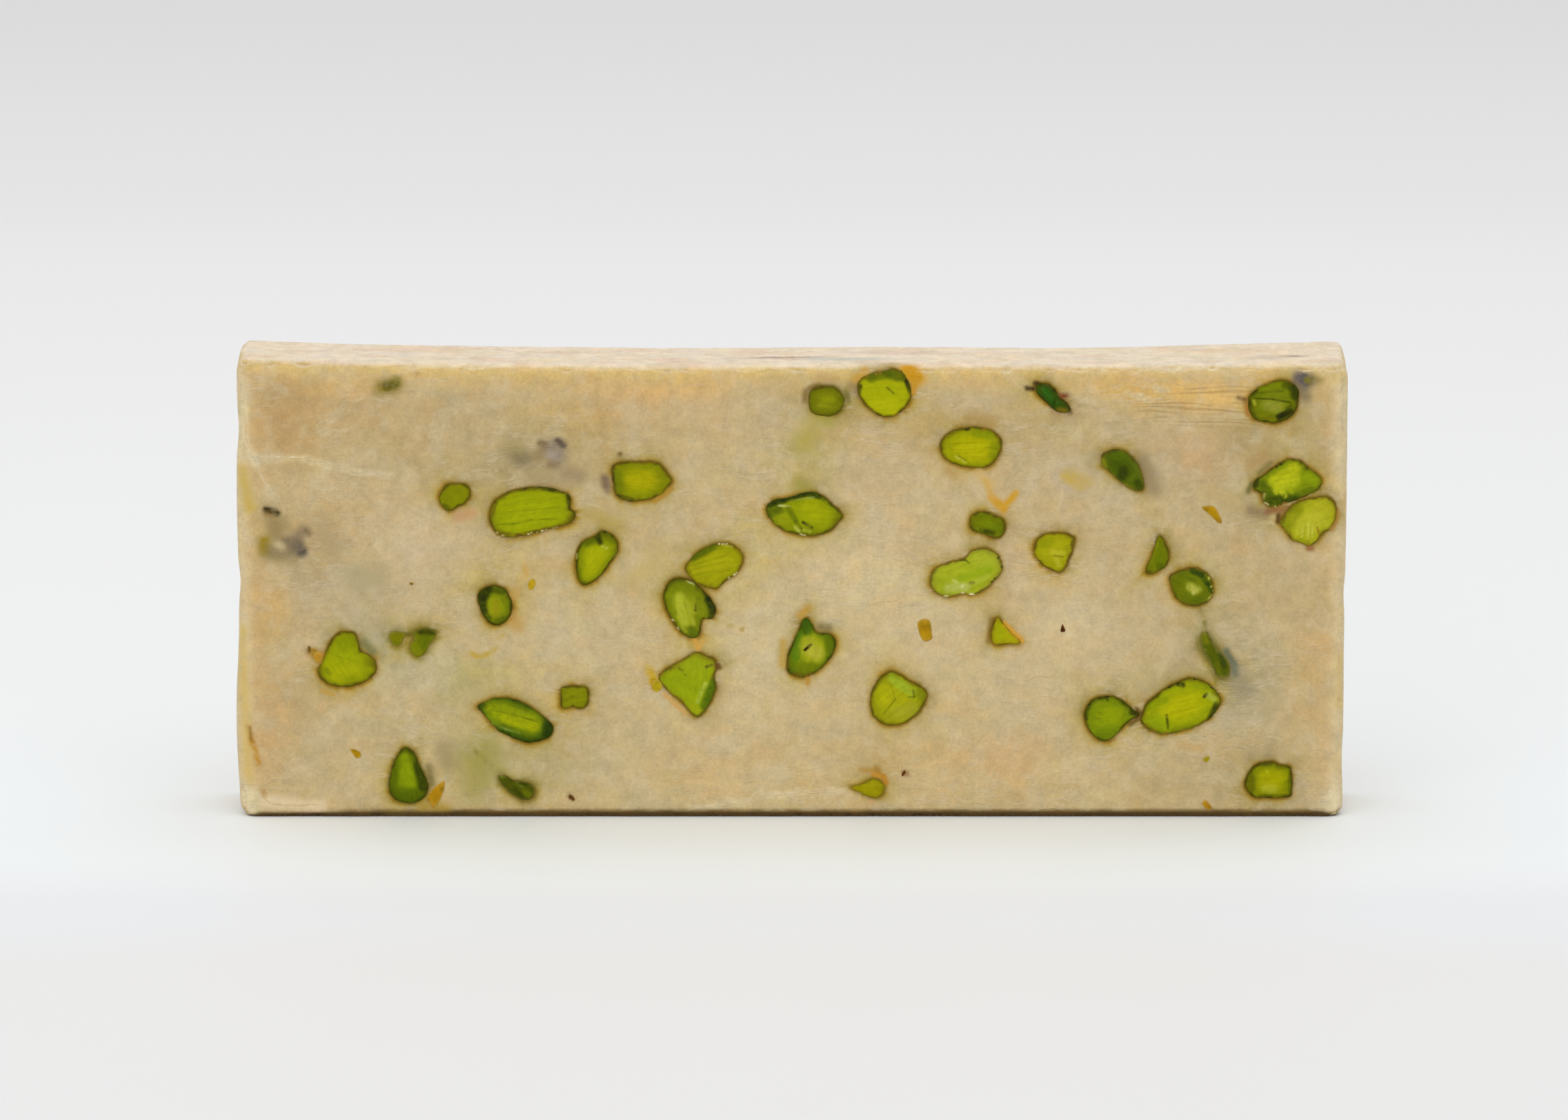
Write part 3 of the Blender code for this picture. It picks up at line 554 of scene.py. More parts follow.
        (-.4, .12, .3, .16, .014, (142, 142, 6), .6, .04), (-.5, -.03, .1, -.03, .01, (146, 144, 6), .5),
        (.35, .02, .6, .02, .012, (120, 122, 8), .6, .04), (0, -.2, .3, -.15, .1, (184, 178, 14), .5),
        (-.12, .47, -.07, .48, .04, "ink", .95, .08), (-.38, -.2, -.14, -.34, .03, (208, 206, 110), .6),
        (-.3, -.19, -.12, -.31, .012, (100, 100, 20), .7, .06), (0, -.44, .35, -.44, .05, (126, 130, 8), .6)),
        chips=((20, 60, 3, "rust"), (270, 360, 5, "bark"))),
    "24": dict(core=(114, 126, 4), flank=(108, 116, 6), edge=(108, 96, 14), softness=.1, outline=((-.73, .13),
        (-.62, .36), (-.32, .5), (0, .48), (.3, .34), (.58, .2), (.71, -.08), (.66, -.38), (.48, -.55), (.25, -.59),
        (0, -.5), (-.32, -.38), (-.59, -.28), (-.73, -.1)), strokes=((.4, -.1, .5, -.3, .13, (100, 118, 10), .7),
        (-.22, -.26, .2, -.34, .09, (42, 48, 8), .95, .12), (.26, .36, .36, .34, .045, (78, 58, 24), .8),
        (-.6, .3, -.66, 0, .06, (122, 112, 10), .6), (0, -.52, .15, -.55, .05, (120, 80, 30), .8))),
    "25": dict(core=(164, 166, 10), flank=(158, 150, 8), edge=(140, 122, 22), softness=.1, outline=((-.15, .72),
        (0, .6), (.25, .3), (.5, 0), (.85, -.38), (.7, -.5), (.3, -.52), (-.2, -.55), (-.42, -.4), (-.48, 0),
        (-.42, .3), (-.35, .6)), strokes=((.3, -.25, .6, -.38, .12, (172, 162, 10), .7),
        (-.15, .3, -.1, 0, .12, (154, 156, 8), .5), (.1, .36, .75, -.28, .055, (200, 152, 40), .8),
        (-.3, .64, -.44, .35, .08, (92, 68, 16), .85), (-.4, .1, -.4, -.3, .04, (118, 112, 8), .6)),
        spillsAndShade=((.12, .46, .9, -.32, .07, (210, 160, 56), .85), (-.44, .62, -.58, -.4, .07, (122, 92, 20), .5))),
    "26": dict(core=(46, 82, 14), flank=(56, 78, 12), edge=(70, 70, 16), outline=((-.5, .42), (-.27, .55), (.07, .47),
        (.33, .21), (.5, -.07), (.73, -.25), (.92, -.56), (.8, -.66), (.53, -.69), (.27, -.59), (0, -.36),
        (-.33, -.05), (-.52, .2)), strokes=((-.22, .3, .1, -.1, .06, (66, 104, 30), .8),
        (-.5, .48, -.84, .34, .05, (70, 46, 14), .95), (-.1, .25, .1, -.15, .1, (40, 92, 18), .8),
        (-.2, .48, .15, .35, .05, (78, 84, 16), .7), (.2, 0, .35, -.25, .04, (84, 100, 24), .6),
        (.3, -.1, .2, -.38, .06, (36, 60, 10), .8), (.5, -.05, .84, -.5, .06, (62, 54, 12), .9),
        (.45, -.55, .65, -.6, .11, (130, 104, 18), .85), (-.56, .42, -.44, .46, .05, (84, 56, 28), .8))),
    "27": dict(core=(166, 162, 16), flank=(156, 154, 10), edge=(136, 118, 18), outline=((0, .71), (.43, .7),
        (.76, .56), (.78, .35), (.72, .02), (.62, -.26), (.49, -.59), (.27, -.79), (0, -.75), (-.37, -.56),
        (-.67, -.22), (-.75, .15), (-.62, .48), (-.37, .67)), strokes=((-.35, .3, -.2, .35, .2, (142, 148, 8), .6),
        (-.05, 0, .35, -.08, .11, (190, 184, 46), .75), (.1, -.3, .2, -.5, .1, (186, 180, 50), .75),
        (0, -.15, .35, -.2, .02, (108, 96, 20), .8, .08), (.5, .2, .55, 0, .06, (140, 140, 20), .5),
        (.72, .42, .66, .25, .055, (90, 78, 20), .9), (.55, -.25, .62, -.05, .03, (116, 92, 24), .8),
        (.5, -.45, .54, -.36, .03, (110, 84, 24), .8)), chips=((320, 400, 7, "bark"),)),
    "28": dict(core=(134, 148, 8), flank=(120, 136, 8), edge=(84, 92, 8), outline=((-.58, .41), (-.35, .64), (0, .7),
        (.27, .67), (.57, .48), (.77, .31), (.97, .15), (.76, 0), (.52, -.22), (.32, -.45), (.05, -.65), (-.28, -.6),
        (-.55, -.3), (-.68, .08)), strokes=((-.1, -.42, .15, -.4, .18, (104, 124, 8), .7),
        (.1, .15, .3, .1, .22, (154, 166, 8), .5), (-.25, .22, -.12, .14, .02, (104, 112, 10), .6),
        (-.38, .06, -.2, .02, .02, (104, 112, 10), .6), (-.3, .45, -.2, .5, .05, (150, 158, 30), .5),
        (.72, .2, .88, .17, .08, (46, 42, 8), .9), (.4, -.28, .65, -.08, .03, (70, 62, 10), .8),
        (-.64, .2, -.6, 0, .035, (60, 54, 12), .85), (-.02, .63, .02, .56, .03, (70, 70, 12), .8),
        (-.4, .58, -.3, .64, .03, (76, 66, 14), .8), (.6, .3, .45, 0, .05, (108, 122, 8), .5)),
        chips=((80, 150, 4, "ink"), (180, 320, 5, "bark")), spillsAndShade=((1, .13, 1.12, .08, .05, (58, 44, 10), .95),
        (.86, .32, 1, .14, .07, (104, 82, 30), .8), (.68, -.16, .98, .05, .05, (108, 86, 36), .8))),
    "29": dict(core=(70, 86, 6), flank=(82, 96, 10), edge=(104, 100, 24), softness=.25, outline=((-.62, .4),
        (-.4, .54), (-.12, .59), (.18, .48), (.45, .2), (.62, -.15), (.69, -.52), (.6, -.71), (.3, -.66), (0, -.48),
        (-.25, -.25), (-.47, -.04), (-.62, .12)), strokes=((-.2, .4, .05, .35, .14, (84, 104, 10), .7),
        (.05, -.05, 0, -.25, .14, (46, 54, 8), .85), (.4, .1, .5, -.15, .08, (94, 108, 24), .7),
        (-.58, .25, -.52, .05, .08, (138, 134, 18), .8), (.1, -.5, .3, -.6, .05, (144, 122, 30), .7),
        (.48, -.45, .55, -.58, .1, (54, 62, 6), .85), (-.4, .5, -.2, .58, .06, (64, 60, 14), .6),
        (.25, -.35, .35, -.25, .07, (100, 112, 14), .6))),
    "30": dict(core=(104, 118, 4), flank=(110, 116, 6), edge=(106, 96, 12), softness=.15, outline=((.14, .84),
        (.31, .61), (.47, .21), (.51, -.12), (.41, -.42), (.17, -.62), (-.23, -.78), (-.43, -.71), (-.41, -.49),
        (-.23, -.05), (-.07, .41), (.03, .74)), strokes=((.02, .45, -.2, -.3, .08, (130, 130, 12), .7),
        (.1, -.4, .25, -.45, .14, (82, 96, 5), .8), (-.4, -.64, -.25, -.66, .07, (80, 66, 10), .9))),
    "31": dict(core=(174, 174, 6), flank=(150, 158, 7), edge=(104, 98, 10), outline=((-.77, -.17), (-.67, .07),
        (-.4, .3), (-.07, .5), (.23, .57), (.53, .44), (.75, .17), (.7, -.04), (.5, -.27), (.13, -.44), (-.27, -.53),
        (-.57, -.47), (-.75, -.33)), strokes=((-.5, -.25, -.35, -.38, .14, (140, 158, 12), .8),
        (-.6, 0, -.3, .15, .06, (136, 150, 10), .6), (-.1, 0, .35, .15, .12, (180, 178, 8), .6),
        (-.1, -.44, .2, -.4, .07, (120, 132, 8), .7), (-.28, -.16, -.25, -.42, .022, (66, 70, 8), .85, .12),
        (-.06, .45, .02, .43, .045, "ink", .9, .1), (.43, .2, .48, .25, .028, (46, 46, 20), .9, .1),
        (.52, .22, .62, .16, .06, (176, 184, 84), .75), (.66, .04, .56, -.18, .055, (54, 58, 10), .9),
        (.3, .42, .55, .36, .05, (132, 146, 10), .6), (-.25, .05, .2, .15, .01, (150, 152, 6), .6),
        (-.2, -.1, .3, 0, .01, (150, 152, 6), .6)), chips=((40, 150, 5, "ink"), (190, 280, 6, "rust"),
        (0, 40, 3, "ink"))),
    "32": dict(core=(110, 120, 10), flank=(98, 108, 8), edge=(110, 104, 22), outline=((-.74, .28), (-.57, .46),
        (-.17, .6), (.16, .6), (.43, .44), (.61, .17), (.64, -.17), (.53, -.43), (.23, -.6), (-.17, -.6),
        (-.47, -.43), (-.65, -.13)), strokes=((-.45, .1, -.4, -.15, .18, (106, 114, 6), .7),
        (0, .5, .25, .4, .09, (42, 62, 12), .85), (.25, .4, .45, .1, .07, (40, 60, 12), .9),
        (.48, .1, .56, -.12, .06, (48, 66, 12), .85), (.05, .2, -.1, .25, .06, (82, 96, 10), .6),
        (-.08, 0, .1, -.08, .13, (188, 186, 76), .95), (0, -.1, .02, -.2, .06, (200, 196, 100), .8),
        (.2, 0, .25, -.1, .05, (150, 154, 50), .7), (.1, -.42, .3, -.35, .08, (88, 98, 8), .7),
        (.5, -.4, .56, -.46, .05, (196, 180, 100), .7)), chips=((320, 400, 8, "pale"), (60, 110, 3, "rust"))),
    "33": dict(core=(84, 92, 6), flank=(82, 90, 8), edge=(94, 94, 22), softness=.8, outline=((-.41, .85), (-.28, .8),
        (-.15, .55), (.05, .27), (.32, 0), (.52, -.27), (.59, -.6), (.45, -.83), (.12, -.8), (-.05, -.47),
        (-.21, -.2), (-.41, .13), (-.52, .5), (-.51, .75)), strokes=((-.38, .7, -.3, .5, .13, (126, 124, 16), .8),
        (.2, .1, .35, -.4, .09, (48, 58, 16), .8), (-.34, .2, -.3, .16, .035, (134, 138, 62), .6),
        (.1, -.35, .15, -.6, .1, (104, 108, 8), .7)), spillsAndShade=((.42, .15, .68, -.35, .13, (108, 112, 90), .85),
        (.68, -.35, .74, -.72, .12, (116, 120, 98), .8), (-.62, .6, -.5, .2, .08, (140, 128, 60), .5))),
    "34": dict(core=(162, 160, 4), flank=(132, 136, 5), edge=(84, 80, 8), outline=((-.19, .59), (.08, .6), (.3, .5),
        (.61, .43), (.69, .13), (.7, -.27), (.65, -.53), (.28, -.59), (-.19, -.59), (-.52, -.56), (-.72, -.37),
        (-.82, -.1), (-.72, .2), (-.52, .47)), strokes=((-.6, .1, -.6, -.25, .13, (92, 92, 6), .85),
        (.6, .1, .6, -.35, .06, (96, 104, 6), .7), (-.3, -.5, .5, -.5, .05, (80, 76, 8), .7),
        (-.2, .15, .38, .1, .16, (164, 160, 5), .7), (-.15, -.25, .1, -.28, .14, (180, 178, 56), .8),
        (-.12, .3, -.08, .24, .045, (182, 184, 30), .8), (-.3, .52, 0, .56, .08, (76, 70, 14), .85),
        (.2, .45, .45, .4, .06, (104, 104, 6), .7), (-.4, .3, -.42, .2, .06, (140, 146, 10), .5))),
    "35": dict(core=(118, 126, 14), flank=(110, 118, 8), edge=(80, 80, 6), outline=((-.7, 0), (-.66, .22),
        (-.43, .43), (-.09, .57), (.17, .65), (.51, .6), (.74, .4), (.76, .07), (.67, -.27), (.47, -.47), (.17, -.6),
        (-.16, -.6), (-.49, -.5), (-.67, -.28)), strokes=((-.35, .42, .2, .52, .09, (126, 136, 8), .8),
        (-.45, .28, .3, .34, .02, (78, 86, 6), .7), (-.1, .28, .4, .22, .05, (120, 130, 14), .6),
        (-.3, -.38, .1, -.45, .1, (118, 114, 5), .6), (-.12, -.08, .18, -.14, .17, (150, 150, 54), .85),
        (-.52, .13, 0, .1, .018, (66, 74, 6), .85, .06), (0, .1, .54, 0, .02, (60, 66, 6), .85, .08),
        (.58, .4, .66, .2, .12, (38, 46, 6), .9), (.35, .5, .5, .45, .08, (70, 80, 6), .7),
        (.2, -.42, .5, -.26, .09, (24, 26, 6), .97), (.42, -.2, .55, -.1, .05, (70, 76, 8), .7),
        (-.54, .05, -.5, -.05, .04, (194, 190, 56), .85)), spillsAndShade=((.78, .74, 1.02, .62, .2, (94, 88, 92), .95),
        (1, .66, 1.1, .62, .1, (128, 120, 40), .8), (-.78, .1, -.7, -.35, .05, (170, 120, 50), .7),
        (-1, .15, -.78, .08, .02, (120, 96, 50), .7))),
    "36": dict(core=(138, 152, 12), flank=(122, 136, 10), edge=(96, 96, 12), outline=((-.75, -.19), (-.67, .02),
        (-.4, .21), (-.13, .41), (.2, .55), (.47, .5), (.67, .31), (.93, .11), (.99, -.07), (.9, -.24), (.67, -.38),
        (.33, -.52), (.07, -.6), (-.27, -.7), (-.47, -.58), (-.57, -.35)),
        strokes=((.62, .12, .8, 0, .14, (142, 160, 10), .8), (-.5, -.1, -.35, -.3, .12, (72, 86, 10), .85),
        (-.68, -.12, -.66, 0, .07, (46, 50, 10), .9), (-.3, -.5, .3, -.48, .13, (50, 64, 8), .95),
        (.4, -.35, .7, -.22, .07, (86, 102, 10), .7), (-.14, 0, .3, .3, .17, (190, 190, 26), .95),
        (-.1, -.15, .3, 0, .16, (188, 190, 28), .9), (-.02, -.3, .06, -.4, .06, (202, 200, 44), .85),
        (-.2, -.28, -.16, -.34, .035, (196, 196, 50), .8), (.2, -.25, .24, -.32, .035, (176, 180, 26), .7),
        (-.3, .05, -.34, -.1, .05, (180, 184, 30), .7), (-.2, 0, .4, .1, .01, (150, 156, 12), .6),
        (-.1, .15, .45, .25, .01, (156, 160, 14), .5), (-.45, -.35, -.5, -.5, .03, (206, 190, 150), .6)),
        chips=((215, 280, 7, "rust"), (90, 140, 3, "ink"), (225, 260, 3, "glint")),
        spillsAndShade=((-.78, -.08, -.86, -.3, .06, (110, 104, 56), .7), (-.6, .18, -.3, .45, .06, (120, 112, 60), .6),
        (-.35, -.8, .1, -.74, .08, (140, 96, 60), .6))),
    "37": dict(core=(182, 180, 42), flank=(168, 168, 26), edge=(130, 120, 22), outline=((-.74, .33), (-.55, .57),
        (-.2, .77), (.23, .85), (.56, .86), (.77, .74), (.84, .41), (.82, .15), (.63, -.12), (.43, -.29), (.23, -.52),
        (.03, -.64), (-.24, -.55), (-.51, -.45), (-.67, -.22), (-.84, .01), (-.85, .18)),
        strokes=((-.66, 0, -.35, .5, .2, (130, 134, 12), .85), (.3, .6, .6, .45, .16, (176, 172, 36), .7),
        (0, .1, 0, -.4, .025, (208, 204, 96), .8), (-.15, .05, -.2, -.35, .03, (204, 200, 84), .7),
        (.12, 0, .12, -.35, .022, (208, 202, 96), .7), (-.32, -.05, -.36, -.35, .03, (190, 188, 60), .6),
        (.06, .05, .06, -.35, .01, (150, 146, 24), .6, .05), (-.08, .05, -.1, -.35, .01, (150, 146, 24), .6, .05),
        (.27, -.06, .33, -.28, .028, (150, 118, 28), .8, .08), (.5, .1, .6, -.02, .08, (186, 182, 50), .5),
        (-.3, -.42, 0, -.5, .06, (136, 138, 10), .7), (0, -.56, .1, -.6, .04, (120, 88, 26), .8),
        (-.76, .1, -.7, .28, .035, (84, 62, 20), .8)), chips=((20, 60, 3, "bark"), (150, 190, 4, "bark")),
        spillsAndShade=((-.92, .1, -.9, .3, .04, (96, 70, 20), .8), (0, -.72, .12, -.72, .06, (150, 100, 60), .7),
        (.9, .35, .72, -.1, .04, (170, 130, 56), .7))),
}

borrowedLooks = {
    "back": ("31", "20", "12", "22", "15", "21", "09", "17", "26", "34", "11", "13", "16", "29", "24", "27", "23",
             "14"),
    "left": ("18", "37"), "right": ("08", "25"),
}

# the shade tone is painted shade on one side of each kernel
pastePaint = dict(
    base=(194, 172, 127), bead=(212, 191, 146), topBead=(208, 180, 116), warmEdge=(200, 168, 114),
    topEdge=(208, 176, 122), crown=(225, 209, 184), blushed=(216, 188, 162), end=(202, 182, 140),
    # the under-foot tone is painted shadow at the foot
    foot=(176, 154, 104), paintedFootShade=(76, 54, 16), pale=(226, 212, 174), contact=(114, 88, 6), rim=(160, 120, 18),
    oil=(178, 156, 58), shade=(138, 122, 74), stainCast=(0, 3, 7),
)

kernelForm = dict(
    step=0.15, quick=1.6, sunk=0.01, dome=0.08, roll=0.24, rollWidth=0.45, ragged=0.08,
    under=(88, 72, 8), reachShare=1.35, rimShade=(114, 86, 8), rimWidth=0.42, rimDepth=0.64, deepen=0.985,
    arrisFrom=70.9, arris=2.0, underRings=8,
)


def smoothLoop(corners):
    # corners joined by a smooth closed curve
    count = len(corners)
    curve = []
    for index in range(count):
        before, here, after, beyond = (corners[(index + shift) % count] for shift in (-1, 0, 1, 2))
        for share in np.arange(0, 1, 0.05):
            bend = (2 * here + (after - before) * share + (2 * before - 5 * here + 4 * after - beyond) * share**2
                    + (3 * here - before - 3 * after + beyond) * share**3) / 2
            curve.append(bend)
    return np.array(curve)


class Cut:
    # one cut kernel, in millimetres across and up in its face
    def __init__(self, name):
        self.name = name
        _, self.place, number, self.kind = name.split("_")
        self.right, self.out = faces[self.place]
        points = np.array([vertex.co for vertex in nodes[name].data.vertices]) / mm
        level = points @ np.array(self.out)
        self.level = level.max()
        rim = points[level > self.level - 0.02]
        across, up = rim @ np.array(self.right), rim[:, 2]
        self.middle = np.array(((across.min() + across.max()) / 2, (up.min() + up.max()) / 2))
        self.half = max(np.ptp(across), np.ptp(up)) / 2
        self.depth = self.level - level.min()
        self.seed = int(number) + 100 * list(faces).index(self.place)
        borrowed = borrowedLooks.get(self.place)
        self.look = kernelLooks[borrowed[int(number) - 1] if borrowed else number]
        self.softness = self.look.get("softness", 0.0)
        corners = np.stack((across - self.middle[0], up - self.middle[1]), 1)
        if self.place == "front" and "outline" in self.look:
            corners = np.array(self.look["outline"]) * self.half * kernelForm["reachShare"]
        self.traceOutline(np.unique(np.round(corners, 3), axis=0))

    def traceOutline(self, corners):
        curve = smoothLoop(corners[np.argsort(np.arctan2(corners[:, 1], corners[:, 0]))])
        angle = np.arctan2(curve[:, 1], curve[:, 0])
        order = np.argsort(angle)
        self.curveAngle, self.curveRadius = angle[order], np.hypot(curve[:, 0], curve[:, 1])[order]

    def radiusAt(self, angle):
        radius = np.interp(angle, self.curveAngle, self.curveRadius, period=math.tau)
        ring = np.stack((np.cos(angle) * radius, np.sin(angle) * radius, 0 * angle), 1)
        return radius + kernelForm["ragged"] * (cloud(ring, 0.7, self.seed) + cloud(ring, 0.3, self.seed + 5) * 0.5)

    def spokes(self, step):
        count = int(math.tau * self.curveRadius.mean() * 1.1 / step / 2) * 2
        angle = np.arange(count) * math.tau / count
        return angle, self.radiusAt(angle)

    def ring(self, step, shift):
        # a closed row of points this far outside the outline
        angle, radius = self.spokes(step)
        return self.middle + np.stack((np.cos(angle), np.sin(angle)), 1) * (radius + shift)[:, None]

    def outside(self, across, up):
        # roughly how far outside the outline a place is, less than 0 inside
        x, z = across - self.middle[0], up - self.middle[1]
        distance = np.hypot(x, z)
        angle = np.arctan2(z, x)
        grid = np.linspace(-math.pi, math.pi, 721)
        radius = self.radiusAt(grid)
        here = np.interp(angle, grid, radius)
        slope = np.interp(angle, grid, np.gradient(radius, grid)) / np.maximum(here, 0.3)
        return (distance - here) / np.sqrt(1 + slope**2)


kernels = [Cut(name) for name in sorted(nodes) if name.startswith("pistachio_")]
print("outlines traced for", len(kernels), "kernels")


lighting = dict(albedo=1.135)  # how much paler the stuff is than it looks under this light


def finishMesh(name, vertices, faceList, colors, material, grain=None):
    mesh = bpy.data.meshes.new(name)
    mesh.from_pydata([tuple(point) for point in vertices], [], faceList)
    paint(mesh, "tint", colors)
    if grain is not None:
        attribute = mesh.attributes.new("grain", "FLOAT_VECTOR", "POINT")
        attribute.data.foreach_set("vector", np.ascontiguousarray(grain, np.float32).ravel())
    mesh.shade_smooth()
    mesh.materials.append(material)
    return shown(bpy.data.objects.new(name, mesh))


def paint(mesh, name, colors, cover=1.0):
    attribute = mesh.color_attributes.new(name, "FLOAT_COLOR", "POINT")
    values = np.ones((len(mesh.vertices), 4), np.float32)
    values[:, :3] = linear(colors) * lighting["albedo"]
    values[:, 3] = cover
    attribute.data.foreach_set("color", values.ravel())


def paintKernel(cut, x, z, share, inside, height):
    # colour from the middle out, then strokes and chips, some of which are cut into the height; the near-white ones are
    # painted glints
    form, look = kernelForm, cut.look
    seedPoints = np.stack((x, z, np.full_like(x, cut.seed)), 1)
    place = np.clip(share + 0.07 * cloud(seedPoints, 1.8, 4) + 0.03 * cloud(seedPoints, 0.6, 5), 0, 1)
    colors = np.zeros((len(x), 3)) + look["core"]
    lay(colors, look["flank"], soft(0.3, 0.8, place))
    lay(colors, look["edge"], soft(0.78, 1.0, place))
    wobble = cloud(seedPoints, 0.9, 6)
    fineWobble = cloud(seedPoints, 0.35, 7)
    crisp, uneven = 1 - 0.7 * cut.softness, inside + 0.1 * fineWobble
    wide = form["rimWidth"] * (1 + 1.5 * np.clip(wobble + 0.3 * fineWobble, -0.5, 0.8))
    lay(colors, np.array(look["edge"]) * form["rimDepth"], crisp * 0.85 * soft(1, 0, uneven / wide))
    lay(colors, form["rimShade"], crisp * 0.62 * soft(0.3, 0.0, uneven) * (0.7 + 0.6 * cloud(seedPoints, 1.7, 8)))
    reach = cut.half * form["reachShare"]
    for startX, startZ, endX, endZ, width, shade, strength, *dent in look.get("strokes", ()):
        width = width * reach
        distance = strokeDistance(x, z, (startX * reach, startZ * reach), (endX * reach, endZ * reach))
        distance = distance + 0.16 * min(width, 1.2) * (wobble + fineWobble)
        blur = 0.3 if width > 0.3 else 0.1
        mask = soft(width * (1.15 + blur) + 0.1, width * (0.7 - blur), distance)
        mask *= 0.8 + 0.25 * fineWobble if width > 0.4 else 0.68 + 0.4 * wobble + 0.3 * fineWobble
        lay(colors, shadeOf(shade), strength * mask)
        if dent:
            height -= dent[0] * mask
    chooser = random.Random(cut.seed)
    # cream chips are painted glints, raised a little; the other chips are flecks, sunk a little
    for first, last, count, shade in look.get("chips", ()):
        for _ in range(count):
            at = math.radians(chooser.uniform(first, last))
            out = float(cut.radiusAt(np.array([at]))[0]) - chooser.uniform(0.02, 0.28)
            chipX, chipZ = math.cos(at) * out, math.sin(at) * out
            lean = chooser.uniform(-0.15, 0.15)
            distance = strokeDistance(x, z, (chipX - lean, chipZ - 0.05), (chipX + lean, chipZ + 0.05))
            mask = soft(0.22, 0.06, distance + 0.05 * fineWobble)
            lay(colors, shadeOf(shade), 0.75 * mask)
            height += 0.05 * mask * (1 if shade == "glint" else -1)
    if cut.softness:
        veiled = (np.array(look["edge"]) + pastePaint["base"]) / 2
        lay(colors, veiled, 0.75 * cut.softness * soft(0.8 * cut.softness + 0.1, 0.0, uneven))
    return colors


def makeKernel(cut):
    form = kernelForm
    step = form["step"] * 1.0
    angle, radius = cut.spokes(step)
    spokeCount = len(angle)
    ringCount = max(8, int(radius.max() / step * 0.85))
    shares = np.append(np.linspace(0, 1, ringCount)[1:-1], (1 - 0.35 / ringCount, 1.0))
    share = np.repeat(shares, spokeCount)
    turn = np.tile(angle, len(shares))
    rim = np.tile(radius, len(shares))
    x, z = np.cos(turn) * rim * share, np.sin(turn) * rim * share
    x, z, share, turn, rim = (np.append(part, 0.0) for part in (x, z, share, turn, rim))
    rim[-1] = radius.mean()
    inside = (1 - share) * rim
    seedPoints = np.stack((x, z, np.full_like(x, cut.seed)), 1)

    height = -form["sunk"] - form["dome"] * share**2
    height -= form["roll"] * np.clip(1 - inside / form["rollWidth"], 0, 1) ** 2
    height -= 0.035 * (cloud(seedPoints, 1.6, 2) + 1) * soft(0, 0.8, inside)
    height -= 0.02 * (cloud(seedPoints, 0.5, 3) + 1)

    colors = paintKernel(cut, x, z, share, inside, height)
    height = np.minimum(height, -form["sunk"])
    if cut.place in ("front", "back"):
        beyond = np.clip((z + cut.middle[1] - form["arrisFrom"]) / form["arris"], 0, 0.98)
        height -= form["arris"] * (1 - np.sqrt(1 - beyond**2))

    # the underside, like half an egg
    topCount, start, low = len(x), -form["sunk"] - form["dome"] - form["roll"], -max(cut.depth, 0.6) + 0.05
    tilt = np.arange(1, form["underRings"]) * math.pi / 2 / form["underRings"]
    narrow = np.cos(tilt)[:, None] * radius
    x = np.concatenate((x, (np.cos(angle) * narrow).ravel(), (0.0,)))
    z = np.concatenate((z, (np.sin(angle) * narrow).ravel(), (0.0,)))
    height = np.concatenate((height, np.repeat(start + (low - start) * np.sin(tilt), spokeCount), (low,)))
    colors = np.concatenate((colors, np.zeros((len(x) - topCount, 3)) + form["under"]))

    starts = [row * spokeCount for row in range(len(shares))]
    starts += [topCount + row * spokeCount for row in range(len(tilt))]
    pairs = [(index, (index + 1) % spokeCount) for index in range(spokeCount)]
    faceList = [
        (near + index, far + index, far + after, near + after)
        for near, far in zip(starts, starts[1:]) for index, after in pairs
    ]
    for index, after in pairs:
        faceList.append((topCount - 1, index, after))
        faceList.append((len(x) - 1, starts[-1] + after, starts[-1] + index))
    points = np.outer(x + cut.middle[0], cut.right) + np.outer(z + cut.middle[1], (0, 0, 1))
    points += np.outer(height + cut.level, cut.out)
    lengthwise = longAxis(cut)
    grain = np.stack((
        x * lengthwise[0] + z * lengthwise[1], z * lengthwise[0] - x * lengthwise[1], np.full_like(x, cut.seed * 7.7),
    ), 1)
    piece = finishMesh("cut_" + cut.name, points * mm, faceList, colors * form["deepen"], kernelMaterial, grain)
    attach(piece, "root")
    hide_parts(cut.name)


def longAxis(cut):
    x, z = np.cos(cut.curveAngle) * cut.curveRadius, np.sin(cut.curveAngle) * cut.curveRadius
    _, vectors = np.linalg.eigh(np.cov(np.stack((x, z))))
    return vectors[:, 1]


for cut in kernels:
    makeKernel(cut)
print("kernels cut:", len(kernels))


# The paste: six paved sides of a plain box, finest round the kernels, which a node tree then shapes

barForm = dict(
    length=174.9, height=72.8, thickness=18.0, leftRise=1.2, leftStart=35.0, pocketGap=0.12, faceInset=0.2,
    edgeStep=0.6, edgeRows=(0.3, 0.65, 1.05, 1.5, 2.1), quick=1.7,
    frontStep=0.64, backStep=0.98, sideStep=0.9, topStep=0.85, footStep=1.5, ringStep=0.28, plainRingStep=0.42,
    rings=(0.0, 0.13, -0.2, 0.3, 0.5, -0.5, 0.75, 1.1, 1.55, -1.0),
)


def crowdedOut(points, rooms):
    # keeps points in their order unless an earlier one is nearer than its room
    cellSize = 0.5
    kept, cells = [], {}
    for index, ((x, y), room) in enumerate(zip(points, rooms)):
        home = (int(x // cellSize), int(y // cellSize))
        near = (
            points[other] for shift in itertools.product((-1, 0, 1), repeat=2)
            for other in cells.get((home[0] + shift[0], home[1] + shift[1]), ())
        )
        if all((nearX - x) ** 2 + (nearY - y) ** 2 >= room * room for nearX, nearY in near):
            kept.append(index)
            cells.setdefault(home, []).append(index)
    return kept


